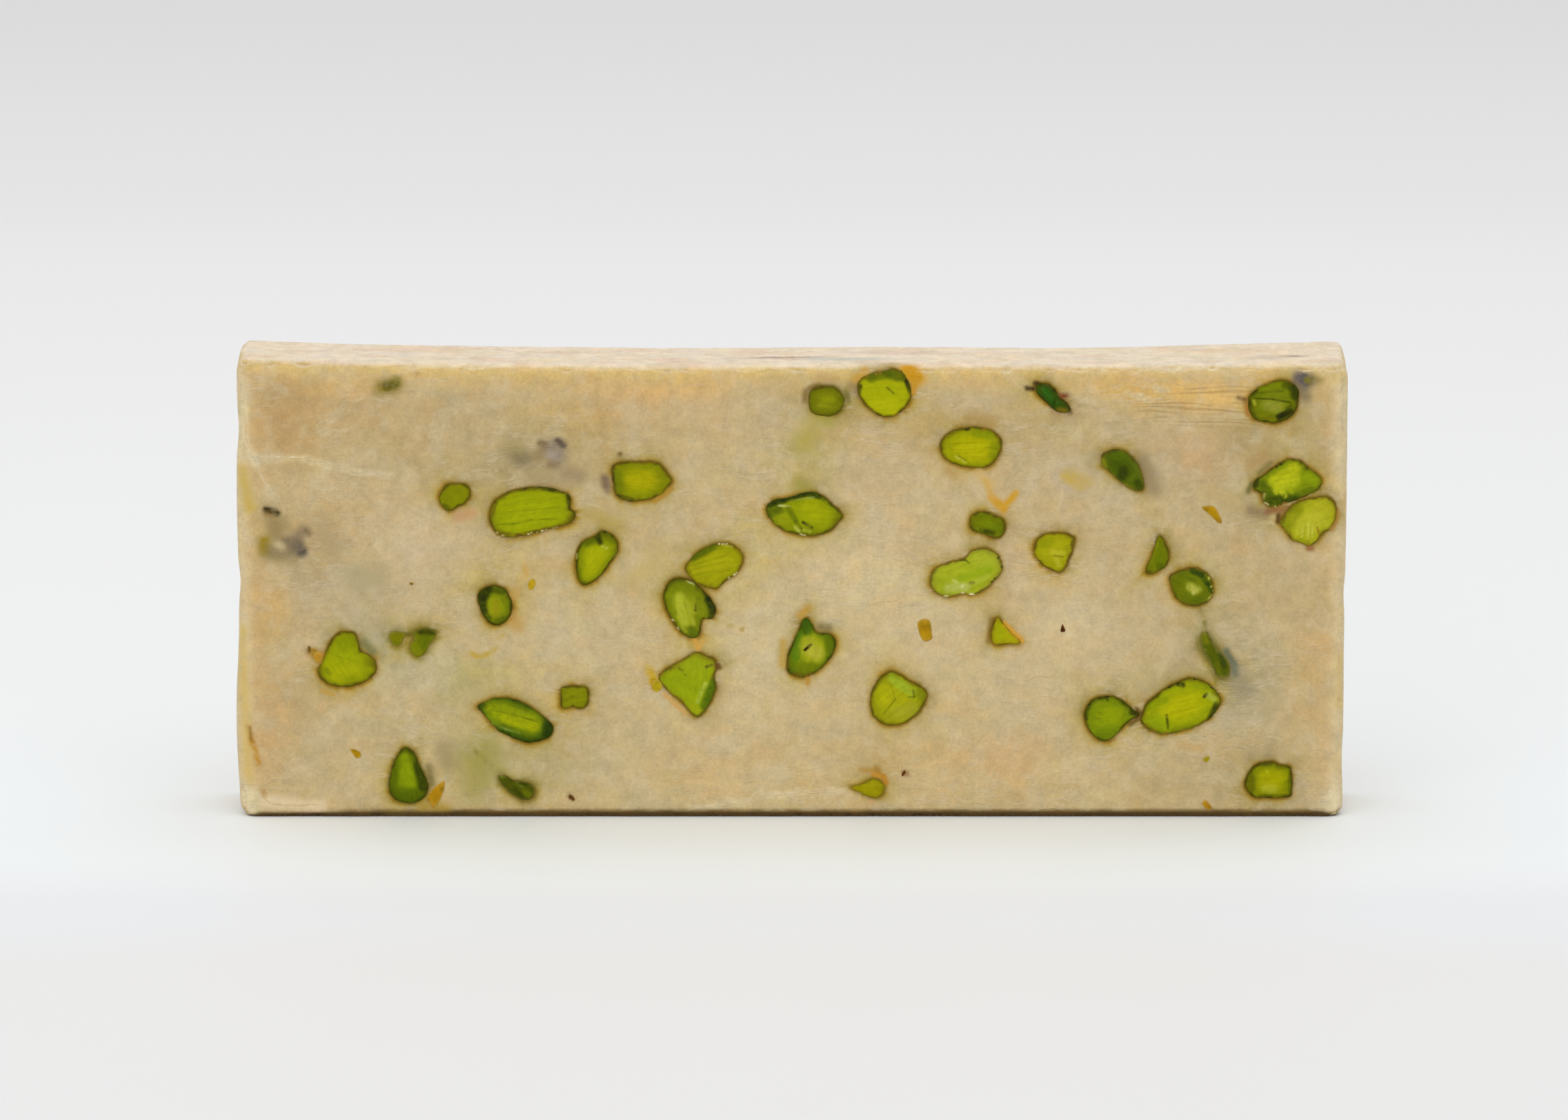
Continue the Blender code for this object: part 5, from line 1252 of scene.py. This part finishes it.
def paintPaste(mesh):
    form, tones = barForm, pastePaint
    points, normals = readPoints(mesh) / mm, readPoints(mesh, "normal")
    x, y, z = points.T
    broad, warp = cloud(points, 9.0, 1), cloud(points, 2.5, 2)
    fine = cloud(points, 0.9, 3)
    colors = np.zeros((len(x), 3)) + tones["base"]
    colors *= (1 + 0.018 * broad + 0.012 * warp)[:, None]
    onFront, onBack = soft(-0.3, -0.9, normals[:, 1]), soft(0.3, 0.9, normals[:, 1])
    onTop, onFoot = soft(0.5, 0.97, normals[:, 2]), soft(-0.25, -0.9, normals[:, 2])
    onEnd = soft(0.3, 0.9, np.abs(normals[:, 0]))

    for spots, side, away in ((frontSpots, onFront, 1), (backSpots, onBack, -1)):
        for across, up, wide, tall, shade, strength in spots:
            distance = np.hypot((x * away - across) / wide, (z - up) / tall) + 0.12 * broad + 0.1 * warp
            lay(colors, shade, side * strength * soft(1.45, 0.25, distance))

    for across, up, wide, tall, change in frontTouches:
        distance = np.hypot((x - across) / wide, (z - up) / tall) + 0.12 * broad + 0.1 * warp
        colors += np.outer(onFront * soft(1.4, 0.3, distance), change)

    # paler, worn edges
    fromEnd = form["length"] / 2 + 0.4 - np.abs(x) + 0.3 * warp
    beyond = np.clip(-x - form["leftStart"], 0, None) / (form["length"] / 2 - form["leftStart"])
    crownHeight = form["height"] + form["leftRise"] * beyond**1.5
    fromTop = crownHeight - z + 0.35 * warp + 0.15 * fine
    lay(colors, tones["warmEdge"], 0.55 * soft(7.0, 2.5, fromEnd))
    lay(colors, tones["topEdge"], 0.6 * soft(5.0, 1.8, fromTop))
    lay(colors, tones["bead"], 0.9 * soft(3.8, 1.2, fromEnd))
    lay(colors, tones["pale"], 0.5 * soft(3.4, 1.0, fromEnd) * soft(48, 66, z))
    band = 0.95 - 0.35 * soft(15, 45, x)
    lay(colors, tones["topBead"], band * soft(3.3, 1.3, fromTop + 0.45 * warp + 0.3 * fine))
    lay(colors, tones["end"], 0.5 * onEnd)
    lay(colors, tones["crown"], onTop)
    for across, deep, wide, tall, shade, strength in topSmudges:
        distance = np.hypot((x - across) / wide, (y - deep) / tall) + 0.2 * warp + 0.15 * fine
        lay(colors, shade, onTop * strength * soft(1.3, 0.3, distance))
    pinkish = cloud(points * (1, 2.2, 1), 6.0, 9)
    lay(colors, tones["blushed"], onTop * 0.6 * soft(0.1, 0.7, pinkish))
    lay(colors, tones["foot"], 0.3 * soft(2.6, 0.9, z + 0.5 * warp) * (1 - onEnd))
    corner = np.hypot(np.clip(6 - fromEnd, 0, 6) - 6, np.clip(z - 1, 0, 9) / 1.2)
    lay(colors, tones["pale"], 0.8 * (onFront + onBack) * soft(6.0, 1.5, corner + 0.5 * warp))
    for line in ridgeLines:
        for start, end in zip(line, line[1:]):
            distance = strokeDistance(x, z, start, end) + 0.3 * warp + 0.2 * fine
            lay(colors, tones["pale"], 0.55 * onFront * soft(0.8, 0.1, distance))
    # painted shade: the sides darken towards the floor over their lowest millimetre and a half, and the underside
    # darkens too, as if in shadow
    low = z + 0.12 * warp + 0.3 * soft(-58, -84, x) + 0.8 * soft(4.0, 1.0, fromEnd)
    lay(colors, tones["paintedFootShade"], 0.95 * soft(1.45, 0.7, low))
    lay(colors, tones["paintedFootShade"], 0.4 * onFoot)

    stain = StainAndShade(len(x))
    for stains, side, away in (
        (frontStains + spilledAndShaded("front"), onFront, 1), (backStains + spilledAndShaded("back"), onBack, -1),
    ):
        for startX, startZ, endX, endZ, width, shade, strength in stains:
            distance = strokeDistance(x * away, z, (startX, startZ), (endX, endZ))
            distance = distance + 0.3 * min(width, 1.5) * (0.7 * warp + 0.7 * fine)
            width = max(width, 0.36)
            cover = side**0.4 * strength * 1.3 * soft(width * 1.6 + 0.12, 0.0, distance) * soft(0.5, 1.4, low)
            stain.over(np.clip(np.array(shade) - tones["stainCast"], 0, 255), np.minimum(cover, 1))

    # oil and painted shade round each kernel, and the pocket it sits in
    sink, clear = np.zeros(len(x)), np.full(len(x), 9.0)
    for cut in kernels:
        across = points @ np.array(cut.right)
        deep = cut.level - points @ np.array(cut.out)
        aside = np.maximum(np.abs(across - cut.middle[0]), np.abs(z - cut.middle[1]))
        chosen = np.flatnonzero((aside < cut.half + 5) & (deep < 2.5))
        outside = cut.outside(across[chosen], z[chosen])
        angle = np.arctan2(z[chosen] - cut.middle[1], across[chosen] - cut.middle[0])
        turned = np.stack((np.cos(angle) * 1.3, np.sin(angle) * 1.3, np.full_like(angle, cut.seed * 3.1)), 1)
        patchy = 0.5 + 0.5 * cloud(turned, 1.0, 4) + 0.25 * fine[chosen]
        spread = np.clip(outside, 0, None)
        sureness = 1 - 0.7 * cut.softness
        side = 0.5 + 0.5 * np.cos(angle - 1.2 - 1.1 * math.sin(cut.seed * 2.3))
        uneven = 0.75 + 0.5 * warp[chosen]
        oil = 0.85 * np.exp(-spread / 1.3) * np.clip(1.4 * patchy - 0.25, 0, 1)
        thin = np.exp(-((spread / 0.55) ** 2))
        part = colors[chosen]
        lay(part, tones["oil"], oil)
        # painted shade on one side of each kernel, as if it sat in a shallow hollow
        lay(part, tones["shade"], 0.6 * side * np.exp(-((spread / 1.3) ** 2)) * uneven)
        lay(part, tones["rim"], 0.9 * sureness * thin * np.clip(1.25 - side, 0.3, 1) * (0.45 + 0.7 * patchy))
        lay(part, tones["contact"], 0.9 * sureness * np.exp(-((spread / 0.27) ** 2)) * (0.65 + 0.35 * side))
        clear[chosen] = np.minimum(clear[chosen], outside)
        if cut.softness:
            blurred = 0.85 * cut.softness * np.exp(-((spread / (0.25 + 0.6 * cut.softness)) ** 2))
            lay(part, cut.look["edge"], blurred * (0.8 + 0.3 * warp[chosen]))
        colors[chosen] = part
        share = np.clip(1 + outside / max(cut.curveRadius.mean(), 1), 0, 1)
        bowl = (cut.depth + form["pocketGap"]) * np.sqrt(1 - share**2)
        sink[chosen] = np.maximum(sink[chosen], np.where(outside < -0.12, bowl, 0) * soft(-0.1, -0.5, outside))
    for cut in kernels:
        chosen = np.flatnonzero((sink > 0) & (np.abs(cut.level - points @ np.array(cut.out)) < 1.2))
        across = points[chosen] @ np.array(cut.right)
        mine = cut.outside(across, z[chosen]) < -0.05
        chosen = chosen[mine]
        points[chosen] -= np.outer(sink[chosen], cut.out)
        sink[chosen] = 0
    mesh.vertices.foreach_set("co", (points * mm).ravel())
    mesh.update()

    paint(mesh, "tint", colors)
    paint(mesh, "stain", stain.colors, stain.cover)
    drag = onFront * soft(1.2, 0.6, np.hypot((x - 67) / 14, (z - 66.2) / 4.0) + 0.15 * warp)
    drag += onBack * soft(1.2, 0.6, np.hypot((x + 30) / 16, (z - 66) / 4.0) + 0.15 * warp)
    away, arris = soft(0.3, 0.9, clear), soft(2.6, 0.6, fromTop) * (1 - onTop)
    crumb = (0.012 * (onFront + onBack) + 0.06 * arris + 0.03 * onEnd) * away * soft(2, 4, z)
    speck = 0.03 * (onFront + onBack + onEnd) * away * (1 - arris) * soft(2, 4, z)
    for name, value in (("drag", drag), ("crumb", crumb), ("speck", speck)):
        attribute = mesh.attributes.new(name, "FLOAT", "POINT")
        attribute.data.foreach_set("value", value.astype(np.float32))


barMesh = runTree("bar", paveBar(), makeBarTree(), barSizes)
paintPaste(barMesh)
barMesh.shade_smooth()
bar = shown(bpy.data.objects.new("turron_paste", barMesh))
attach(bar, "root")
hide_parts("paste")
print("paste shaped:", len(barMesh.polygons), "faces")


# Scraps of nut skin pressed into the front and the back: middle, colour and corners

skinLook = dict(
    fibre=0.3, fibreScale=1600.0, mottleScale=700.0, rimShade=(196, 158, 92), roughness=0.45, subsurface=0.1,
    sinking=(1.0, 0.2, 0.1), sinkScale=0.6, specular=0.06,
)
amber, brown, olive = (174, 134, 8), (84, 46, 10), (158, 142, 14)

frontScraps = (
    (66.2, 49.1, amber, ((-1.5, .9), (-1.1, 1.2), (.3, 1.2), (.9, .5), (1.6, -1), (1.6, -1.5), (1.1, -1.5), (.2, -.6),
    (-.8, .3))), (21.1, 30.4, amber, ((-1.1, 1.2), (-.3, 1.7), (.7, 1.5), (1, .6), (1.1, -.6), (1.2, -1.4),
    (.4, -1.9), (-.3, -1.7), (-.8, -.8), (-1.1, .4))), (-41, 37.7, (184, 154, 24), ((-.4, .5), (.2, .9), (.6, .5),
    (.5, -.3), (0, -.9), (-.5, -.7), (-.6, 0))), (-68.9, 10.5, amber, ((-1, .5), (-.4, .5), (.3, .2), (.7, -.3),
    (.5, -.8), (0, -.9), (-.5, -.4))), (-56.3, 4, (176, 132, 12), ((1.3, 1.8), (1.2, .5), (.7, -.9), (.1, -2),
    (-.6, -2.6), (-.9, -1.9), (-1.6, -1.2), (-1.1, -.2), (-.3, .8), (.6, 1.5))), (-21.2, 21.3, (172, 150, 16),
    ((-.8, .5), (-.2, 1), (.4, .8), (.8, .1), (.5, -.7), (-.2, -1), (-.8, -.5))), (-60, 37.8, (136, 104, 26),
    ((-.35, 0), (0, .2), (.35, .05), (.1, -.2))), (65.8, 9.4, olive, ((-.5, -.1), (-.1, .35), (.5, .4), (.3, -.3),
    (-.1, -.5))), (66, 1.9, (180, 134, 26), ((-.8, .4), (-.3, .8), (.3, .3), (.8, -.4), (.5, -.8), (-.1, -.6),
    (-.6, -.1))), (-74.9, 26, (176, 132, 36), ((-.7, .3), (0, .8), (.6, .6), (.7, -.2), (.3, -.8), (-.4, -.7))),
    (-76.2, 27.2, (112, 86, 30), ((-.2, .5), (.15, .4), (.1, -.1), (.15, -.5), (-.15, -.4))), (42.9, 30.6,
    (72, 34, 6), ((-.05, .65), (.2, .2), (.4, -.3), (.25, -.55), (-.3, -.55), (-.3, -.1))), (17.8, 7.1, brown,
    ((.3, .5), (.25, 0), (-.1, -.5), (-.3, -.3), (-.1, .2))), (-34.9, 3.1, (112, 70, 26), ((-.35, .5), (.1, .4),
    (.5, -.1), (.4, -.5), (0, -.2), (-.4, -.1))),
)

backScraps = (
    (-52, 30, amber, ((-1.2, .8), (.2, 1.1), (1, .2), (.7, -1), (-.5, -.8))), (15, 44, brown, ((-.3, .6), (.3, .5),
    (.5, -.2), (0, -.7), (-.4, -.2))), (60, 34, (180, 134, 26), ((-.7, .5), (.1, .9), (.7, .2), (.3, -.9),
    (-.5, -.6))), (-20, 8, olive, ((-.9, .2), (-.2, .7), (.8, .3), (.4, -.5), (-.4, -.6))),
)


def makeSkinMaterial(look):
    material, board, shader = newMaterial("nut skin")
    place = board.add("ShaderNodeTexCoord", None, None, "Object")
    tint = board.painted("tint")
    fibre, mottle = board.grain(place, look["fibreScale"], 3.0, 0.6), board.grain(place, look["mottleScale"], 2.0, 0.6)
    light = 1 + (fibre - 0.5) * look["fibre"] * 2 + (mottle - 0.5) * look["fibre"] * 2
    color = board.lit(tint, light)
    normal = bumped(board, ((fibre, 0.04 * mm), (mottle, 0.08 * mm)))
    plug(board, shader, Base_Color=color, Roughness=look["roughness"] + (mottle - 0.5) * 0.3, Normal=normal)
    waxy(shader, look)
    return material


skinMaterial = makeSkinMaterial(skinLook)


def makeScraps(name, entries, place):
    # every scrap is a flat closed flake, level with the paste and thinning to its rim
    right, out = faces[place]
    vertices, faceList, colors = [], [], []
    for number, (across, up, shade, corners) in enumerate(entries):
        corners = np.array(corners)
        curve = smoothLoop(corners[np.argsort(np.arctan2(corners[:, 1], corners[:, 0]))])[::4]
        count, start = len(curve), len(vertices)
        rings = ((1.0, -0.5), (1.0, -0.02), (0.86, 0.05), (0.6, 0.075), (0.3, 0.085))
        for size, proud in rings:
            ring = curve * size
            tall = barForm["thickness"] / 2 - barForm["faceInset"] + proud
            blur = 0.65 if size == 1.0 else 0.3 if size > 0.8 else 0.0
            seeds = np.stack((ring[:, 0] + number * 7, ring[:, 1], 0 * ring[:, 0]), 1)
            tone = np.zeros((count, 3)) + shade
            lay(tone, np.array(shade) * 0.8, soft(0.0, 0.7, cloud(seeds, 0.8, 3)) * 0.8)
            lay(tone, skinLook["rimShade"], np.full(count, blur * (0.4 if max(shade) < 120 else 1.0)))
            colors.extend(tone)
            for x, z in ring:
                vertices.append(right * (x + across) + out * tall + Vector((0, 0, z + up)))
        for row in range(len(rings) - 1):
            for index in range(count):
                after = (index + 1) % count
                low, high = start + row * count, start + (row + 1) * count
                faceList.append((low + index, low + after, high + after, high + index))
        faceList.append(tuple(start + index for index in reversed(range(count))))
        faceList.append(tuple(start + (len(rings) - 1) * count + index for index in range(count)))
    piece = finishMesh(name, np.array(vertices) * mm, faceList, np.array(colors), skinMaterial)
    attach(piece, "root")


makeScraps("skin_scraps_front", frontScraps, "front")
makeScraps("skin_scraps_back", backScraps, "back")
print("scraps pressed in:", len(frontScraps) + len(backScraps))


# Pale ridges on the lower edge and the left end, and what is scattered: crumbs of paste and specks of skin

ridgeSizes = {"Radius": 0.13 * mm, "Spacing": 0.35 * mm, "Wander": 0.9 * mm, "Sunk": 0.06 * mm}
ridgeTones = dict(pale=(224, 206, 170), warm=(214, 188, 140))


def makeRidgeTree():
    tree, board, size = sizeTree("draw ridges", ridgeSizes)
    line = board.add("GeometryNodeMeshToCurve", None, {0: size["Geometry"]})
    line = board.add("GeometryNodeResampleCurve", {"mode": "LENGTH"}, {"Curve": line, "Length": size["Spacing"]})
    wander = board.grain(board.add("GeometryNodeInputPosition"), 380.0, 3.0, 0.6).out("Color")
    middle = board.vector("SUBTRACT", wander, (0.5, 0.5, 0.5))
    level = board.joined(size["Wander"], 0.0, size["Wander"])
    shift = board.stretched(middle, level)
    line = board.add("GeometryNodeSetPosition", None, {0: line, "Offset": shift})
    share = board.add("GeometryNodeSplineParameter", None, None, "Factor")
    swell = (1 - (share * 2 - 1) ** 2).work("MAXIMUM", 0.02) ** 0.5
    thick = swell * (board.grain(board.add("GeometryNodeInputPosition"), 900.0).step(0.3, 0.7) + 0.4)
    ring = board.add("GeometryNodeCurvePrimitiveCircle", None, {"Resolution": 7, "Radius": 1.0})
    sockets = {"Curve": line, "Profile Curve": ring, "Scale": thick * size["Radius"], "Fill Caps": True}
    tube = board.add("GeometryNodeCurveToMesh", None, sockets)
    closeTree(board, tube, pasteMaterial)
    return tree


def makeRidges():
    front = -barForm["thickness"] / 2 + barForm["faceInset"] + ridgeSizes["Sunk"] / mm
    vertices = [Vector((across, front, up)) * mm for line in ridgeLines for across, up in line]
    starts = np.cumsum([0] + [len(line) for line in ridgeLines])
    edges = [(at, at + 1) for first, last in zip(starts, starts[1:]) for at in range(first, last - 1)]
    mesh = bpy.data.meshes.new("ridge lines")
    mesh.from_pydata(vertices, [(int(first), int(last)) for first, last in edges], [])
    addPiece("paste_ridges", runTree("ridges", mesh, makeRidgeTree(), ridgeSizes), ridgeTones)


def addPiece(name, mesh, tones):
    # colours drift from the pale tone to the warm one
    drift = soft(-0.6, 0.6, cloud(readPoints(mesh) / mm, 1.3, 3))
    colors = np.zeros((len(drift), 3)) + tones["pale"]
    lay(colors, tones["warm"], drift)
    paint(mesh, "tint", colors)
    paint(mesh, "stain", colors, 0.0)
    mesh.shade_smooth()
    piece = shown(bpy.data.objects.new(name, mesh))
    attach(piece, "root")


scatters = {
    "paste_crumbs": dict(
        attribute="crumb", seed=11, slot="paste", tones=dict(pale=(230, 212, 172), warm=(212, 186, 136)),
        sizes={"Smallest": 0.05 * mm, "Largest": 0.17 * mm, "Flatness": 0.8, "Sunk": 0.03 * mm}),
    "skin_specks": dict(
        attribute="speck", seed=12, slot="", tones=dict(pale=(128, 94, 46), warm=(84, 56, 20)),
        sizes={"Smallest": 0.06 * mm, "Largest": 0.19 * mm, "Flatness": 0.4, "Sunk": 0.01 * mm}),
}


def makeScatterTree(plan, material):
    sizes = {**plan["sizes"], "Lowest": (0, 0, 0), "Highest": (0, 0, 0)}
    tree, board, size = sizeTree("scatter " + plan["attribute"], sizes)
    density = board.add("GeometryNodeInputNamedAttribute", {"data_type": "FLOAT"}, {"Name": plan["attribute"]})
    sockets = {"Mesh": size["Geometry"], "Density": density * 1e6, "Seed": plan["seed"]}
    spread = board.add("GeometryNodeDistributePointsOnFaces", {"distribute_method": "RANDOM"}, sockets)
    grainShape = board.add("GeometryNodeMeshUVSphere", None, {"Segments": 7, "Rings": 5, "Radius": 1.0})
    chance = board.add("FunctionNodeRandomValue", {"data_type": "FLOAT"}, {2: 0.0, 3: 1.0, "Seed": plan["seed"] + 1}, 1)
    radius = size["Smallest"] + chance ** 3 * (size["Largest"] - size["Smallest"])
    uneven = board.add("FunctionNodeRandomValue", {"data_type": "FLOAT_VECTOR"}, {
        0: (0.7, 0.7, 0.8), 1: (1.6, 1.3, 1.1), "Seed": plan["seed"] + 2})
    shape = board.scaled(uneven, radius)
    level = board.joined(1.0, 1.0, size["Flatness"])
    turn = board.add("FunctionNodeRandomValue", {"data_type": "FLOAT_VECTOR"}, {
        0: (-0.2, -0.2, 0.0), 1: (0.2, 0.2, 6.28), "Seed": plan["seed"] + 3})
    turned = board.add("FunctionNodeRotateRotation", {"rotation_space": "LOCAL"}, {0: spread.out("Rotation"), 1: turn})
    inward = board.scaled(spread.out("Normal"), 0 - size["Sunk"])
    lowered = board.add("GeometryNodeSetPosition", None, {0: spread, "Offset": inward})
    placed = board.add("GeometryNodeInstanceOnPoints", None, {
        "Points": lowered, "Instance": grainShape, "Rotation": turned, "Scale": board.stretched(shape, level)})
    whole = board.add("GeometryNodeRealizeInstances", None, {0: placed})
    closeTree(board, keptWithin(board, whole, size), material)
    return tree


makeRidges()
for name, plan in scatters.items():
    tree = makeScatterTree(plan, pasteMaterial if plan["slot"] else skinMaterial)
    limits = {key: barSizes[key] for key in ("Lowest", "Highest")}
    grains = runTree(name, barMesh.copy(), tree, {**plan["sizes"], **limits})
    addPiece(name, grains, plan["tones"])
    print(name, "scattered:", len(grains.polygons), "faces")


# Floor, light and camera

studio = dict(
    # the floor's tones are painted light: brightest round the bar, where they fill in its shadow, and darker far behind
    # and near the camera as if the light fell away
    floorPaintedLight=(
        (0.0, (240, 240, 240)), (0.07, (241, 241, 241)), (0.1, (242, 244, 248)), (0.128, (249, 253, 255)),
        (0.31, (249, 250, 250)), (0.54, (248, 248, 248)), (0.65, (244, 244, 244)), (0.9, (240, 240, 240)),
    ),
    world=0.6, keyPower=17.0, keySize=2.6, keyHeight=1.7, keyBack=-0.3, fillPower=3.0, fillSize=1.2,
    lens=189.2, distance=1300.0, pitch=11.5, target=(-1.15, -9.0, 41.68),
)


def makeStudio(plan):
    material, board, shader = newMaterial("pale floor")
    place = board.add("ShaderNodeTexCoord", None, None, "Object")
    _, back, _ = board.parts(place)
    # painted light: the floor's colour runs from front to back as the light falls off
    share = (back + 0.2) / 1.3
    stops = [(place, flat(tone)) for place, tone in plan["floorPaintedLight"]]
    color = board.add("ShaderNodeValToRGB", {"stops": stops}, {0: share})
    rough = 0.6 + (board.grain(place, 40.0) - 0.5) * 0.05
    plug(board, shader, Base_Color=color, Roughness=rough)
    mesh = bpy.data.meshes.new("floor")
    mesh.from_pydata([(-4, -4, 0), (4, -4, 0), (4, 6, 0), (-4, 6, 0)], [], [(0, 1, 2, 3)])
    mesh.materials.append(material)
    shown(bpy.data.objects.new("floor", mesh))

    world = bpy.data.worlds.new("pale studio")
    world.use_nodes = True
    background = world.node_tree.nodes["Background"]
    background.inputs["Color"].default_value = (1, 1, 1, 1)
    background.inputs["Strength"].default_value = plan["world"]
    bpy.context.scene.world = world

    for name, power, size, place, aim in (
        ("key", plan["keyPower"], plan["keySize"], (0, plan["keyBack"], plan["keyHeight"]), (0, plan["keyBack"], 0)),
        ("fill", plan["fillPower"], plan["fillSize"], (-0.5, -1.5, 0.7), (0, 0, 0.03)),
    ):
        lamp = bpy.data.lights.new(name, "AREA")
        lamp.energy, lamp.size, lamp.shape = power, size, "SQUARE"
        light = shown(bpy.data.objects.new(name, lamp))
        light.location = place
        light.rotation_euler = (Vector(aim) - Vector(place)).to_track_quat("-Z", "Y").to_euler()

    camera = shown(bpy.data.objects.new("camera", bpy.data.cameras.new("camera")))
    camera.data.lens, camera.data.sensor_width = plan["lens"], 36.0
    camera.data.clip_start, camera.data.clip_end = 0.05, 20.0
    pitch = math.radians(plan["pitch"])
    target = Vector(plan["target"]) * mm
    camera.location = target + Vector((0, -math.cos(pitch), math.sin(pitch))) * plan["distance"] * mm
    camera.rotation_euler = (math.radians(90) - pitch, 0, 0)
    bpy.context.scene.camera = camera


makeStudio(studio)
bpy.context.scene.view_settings.view_transform = "Standard"
print("studio set")
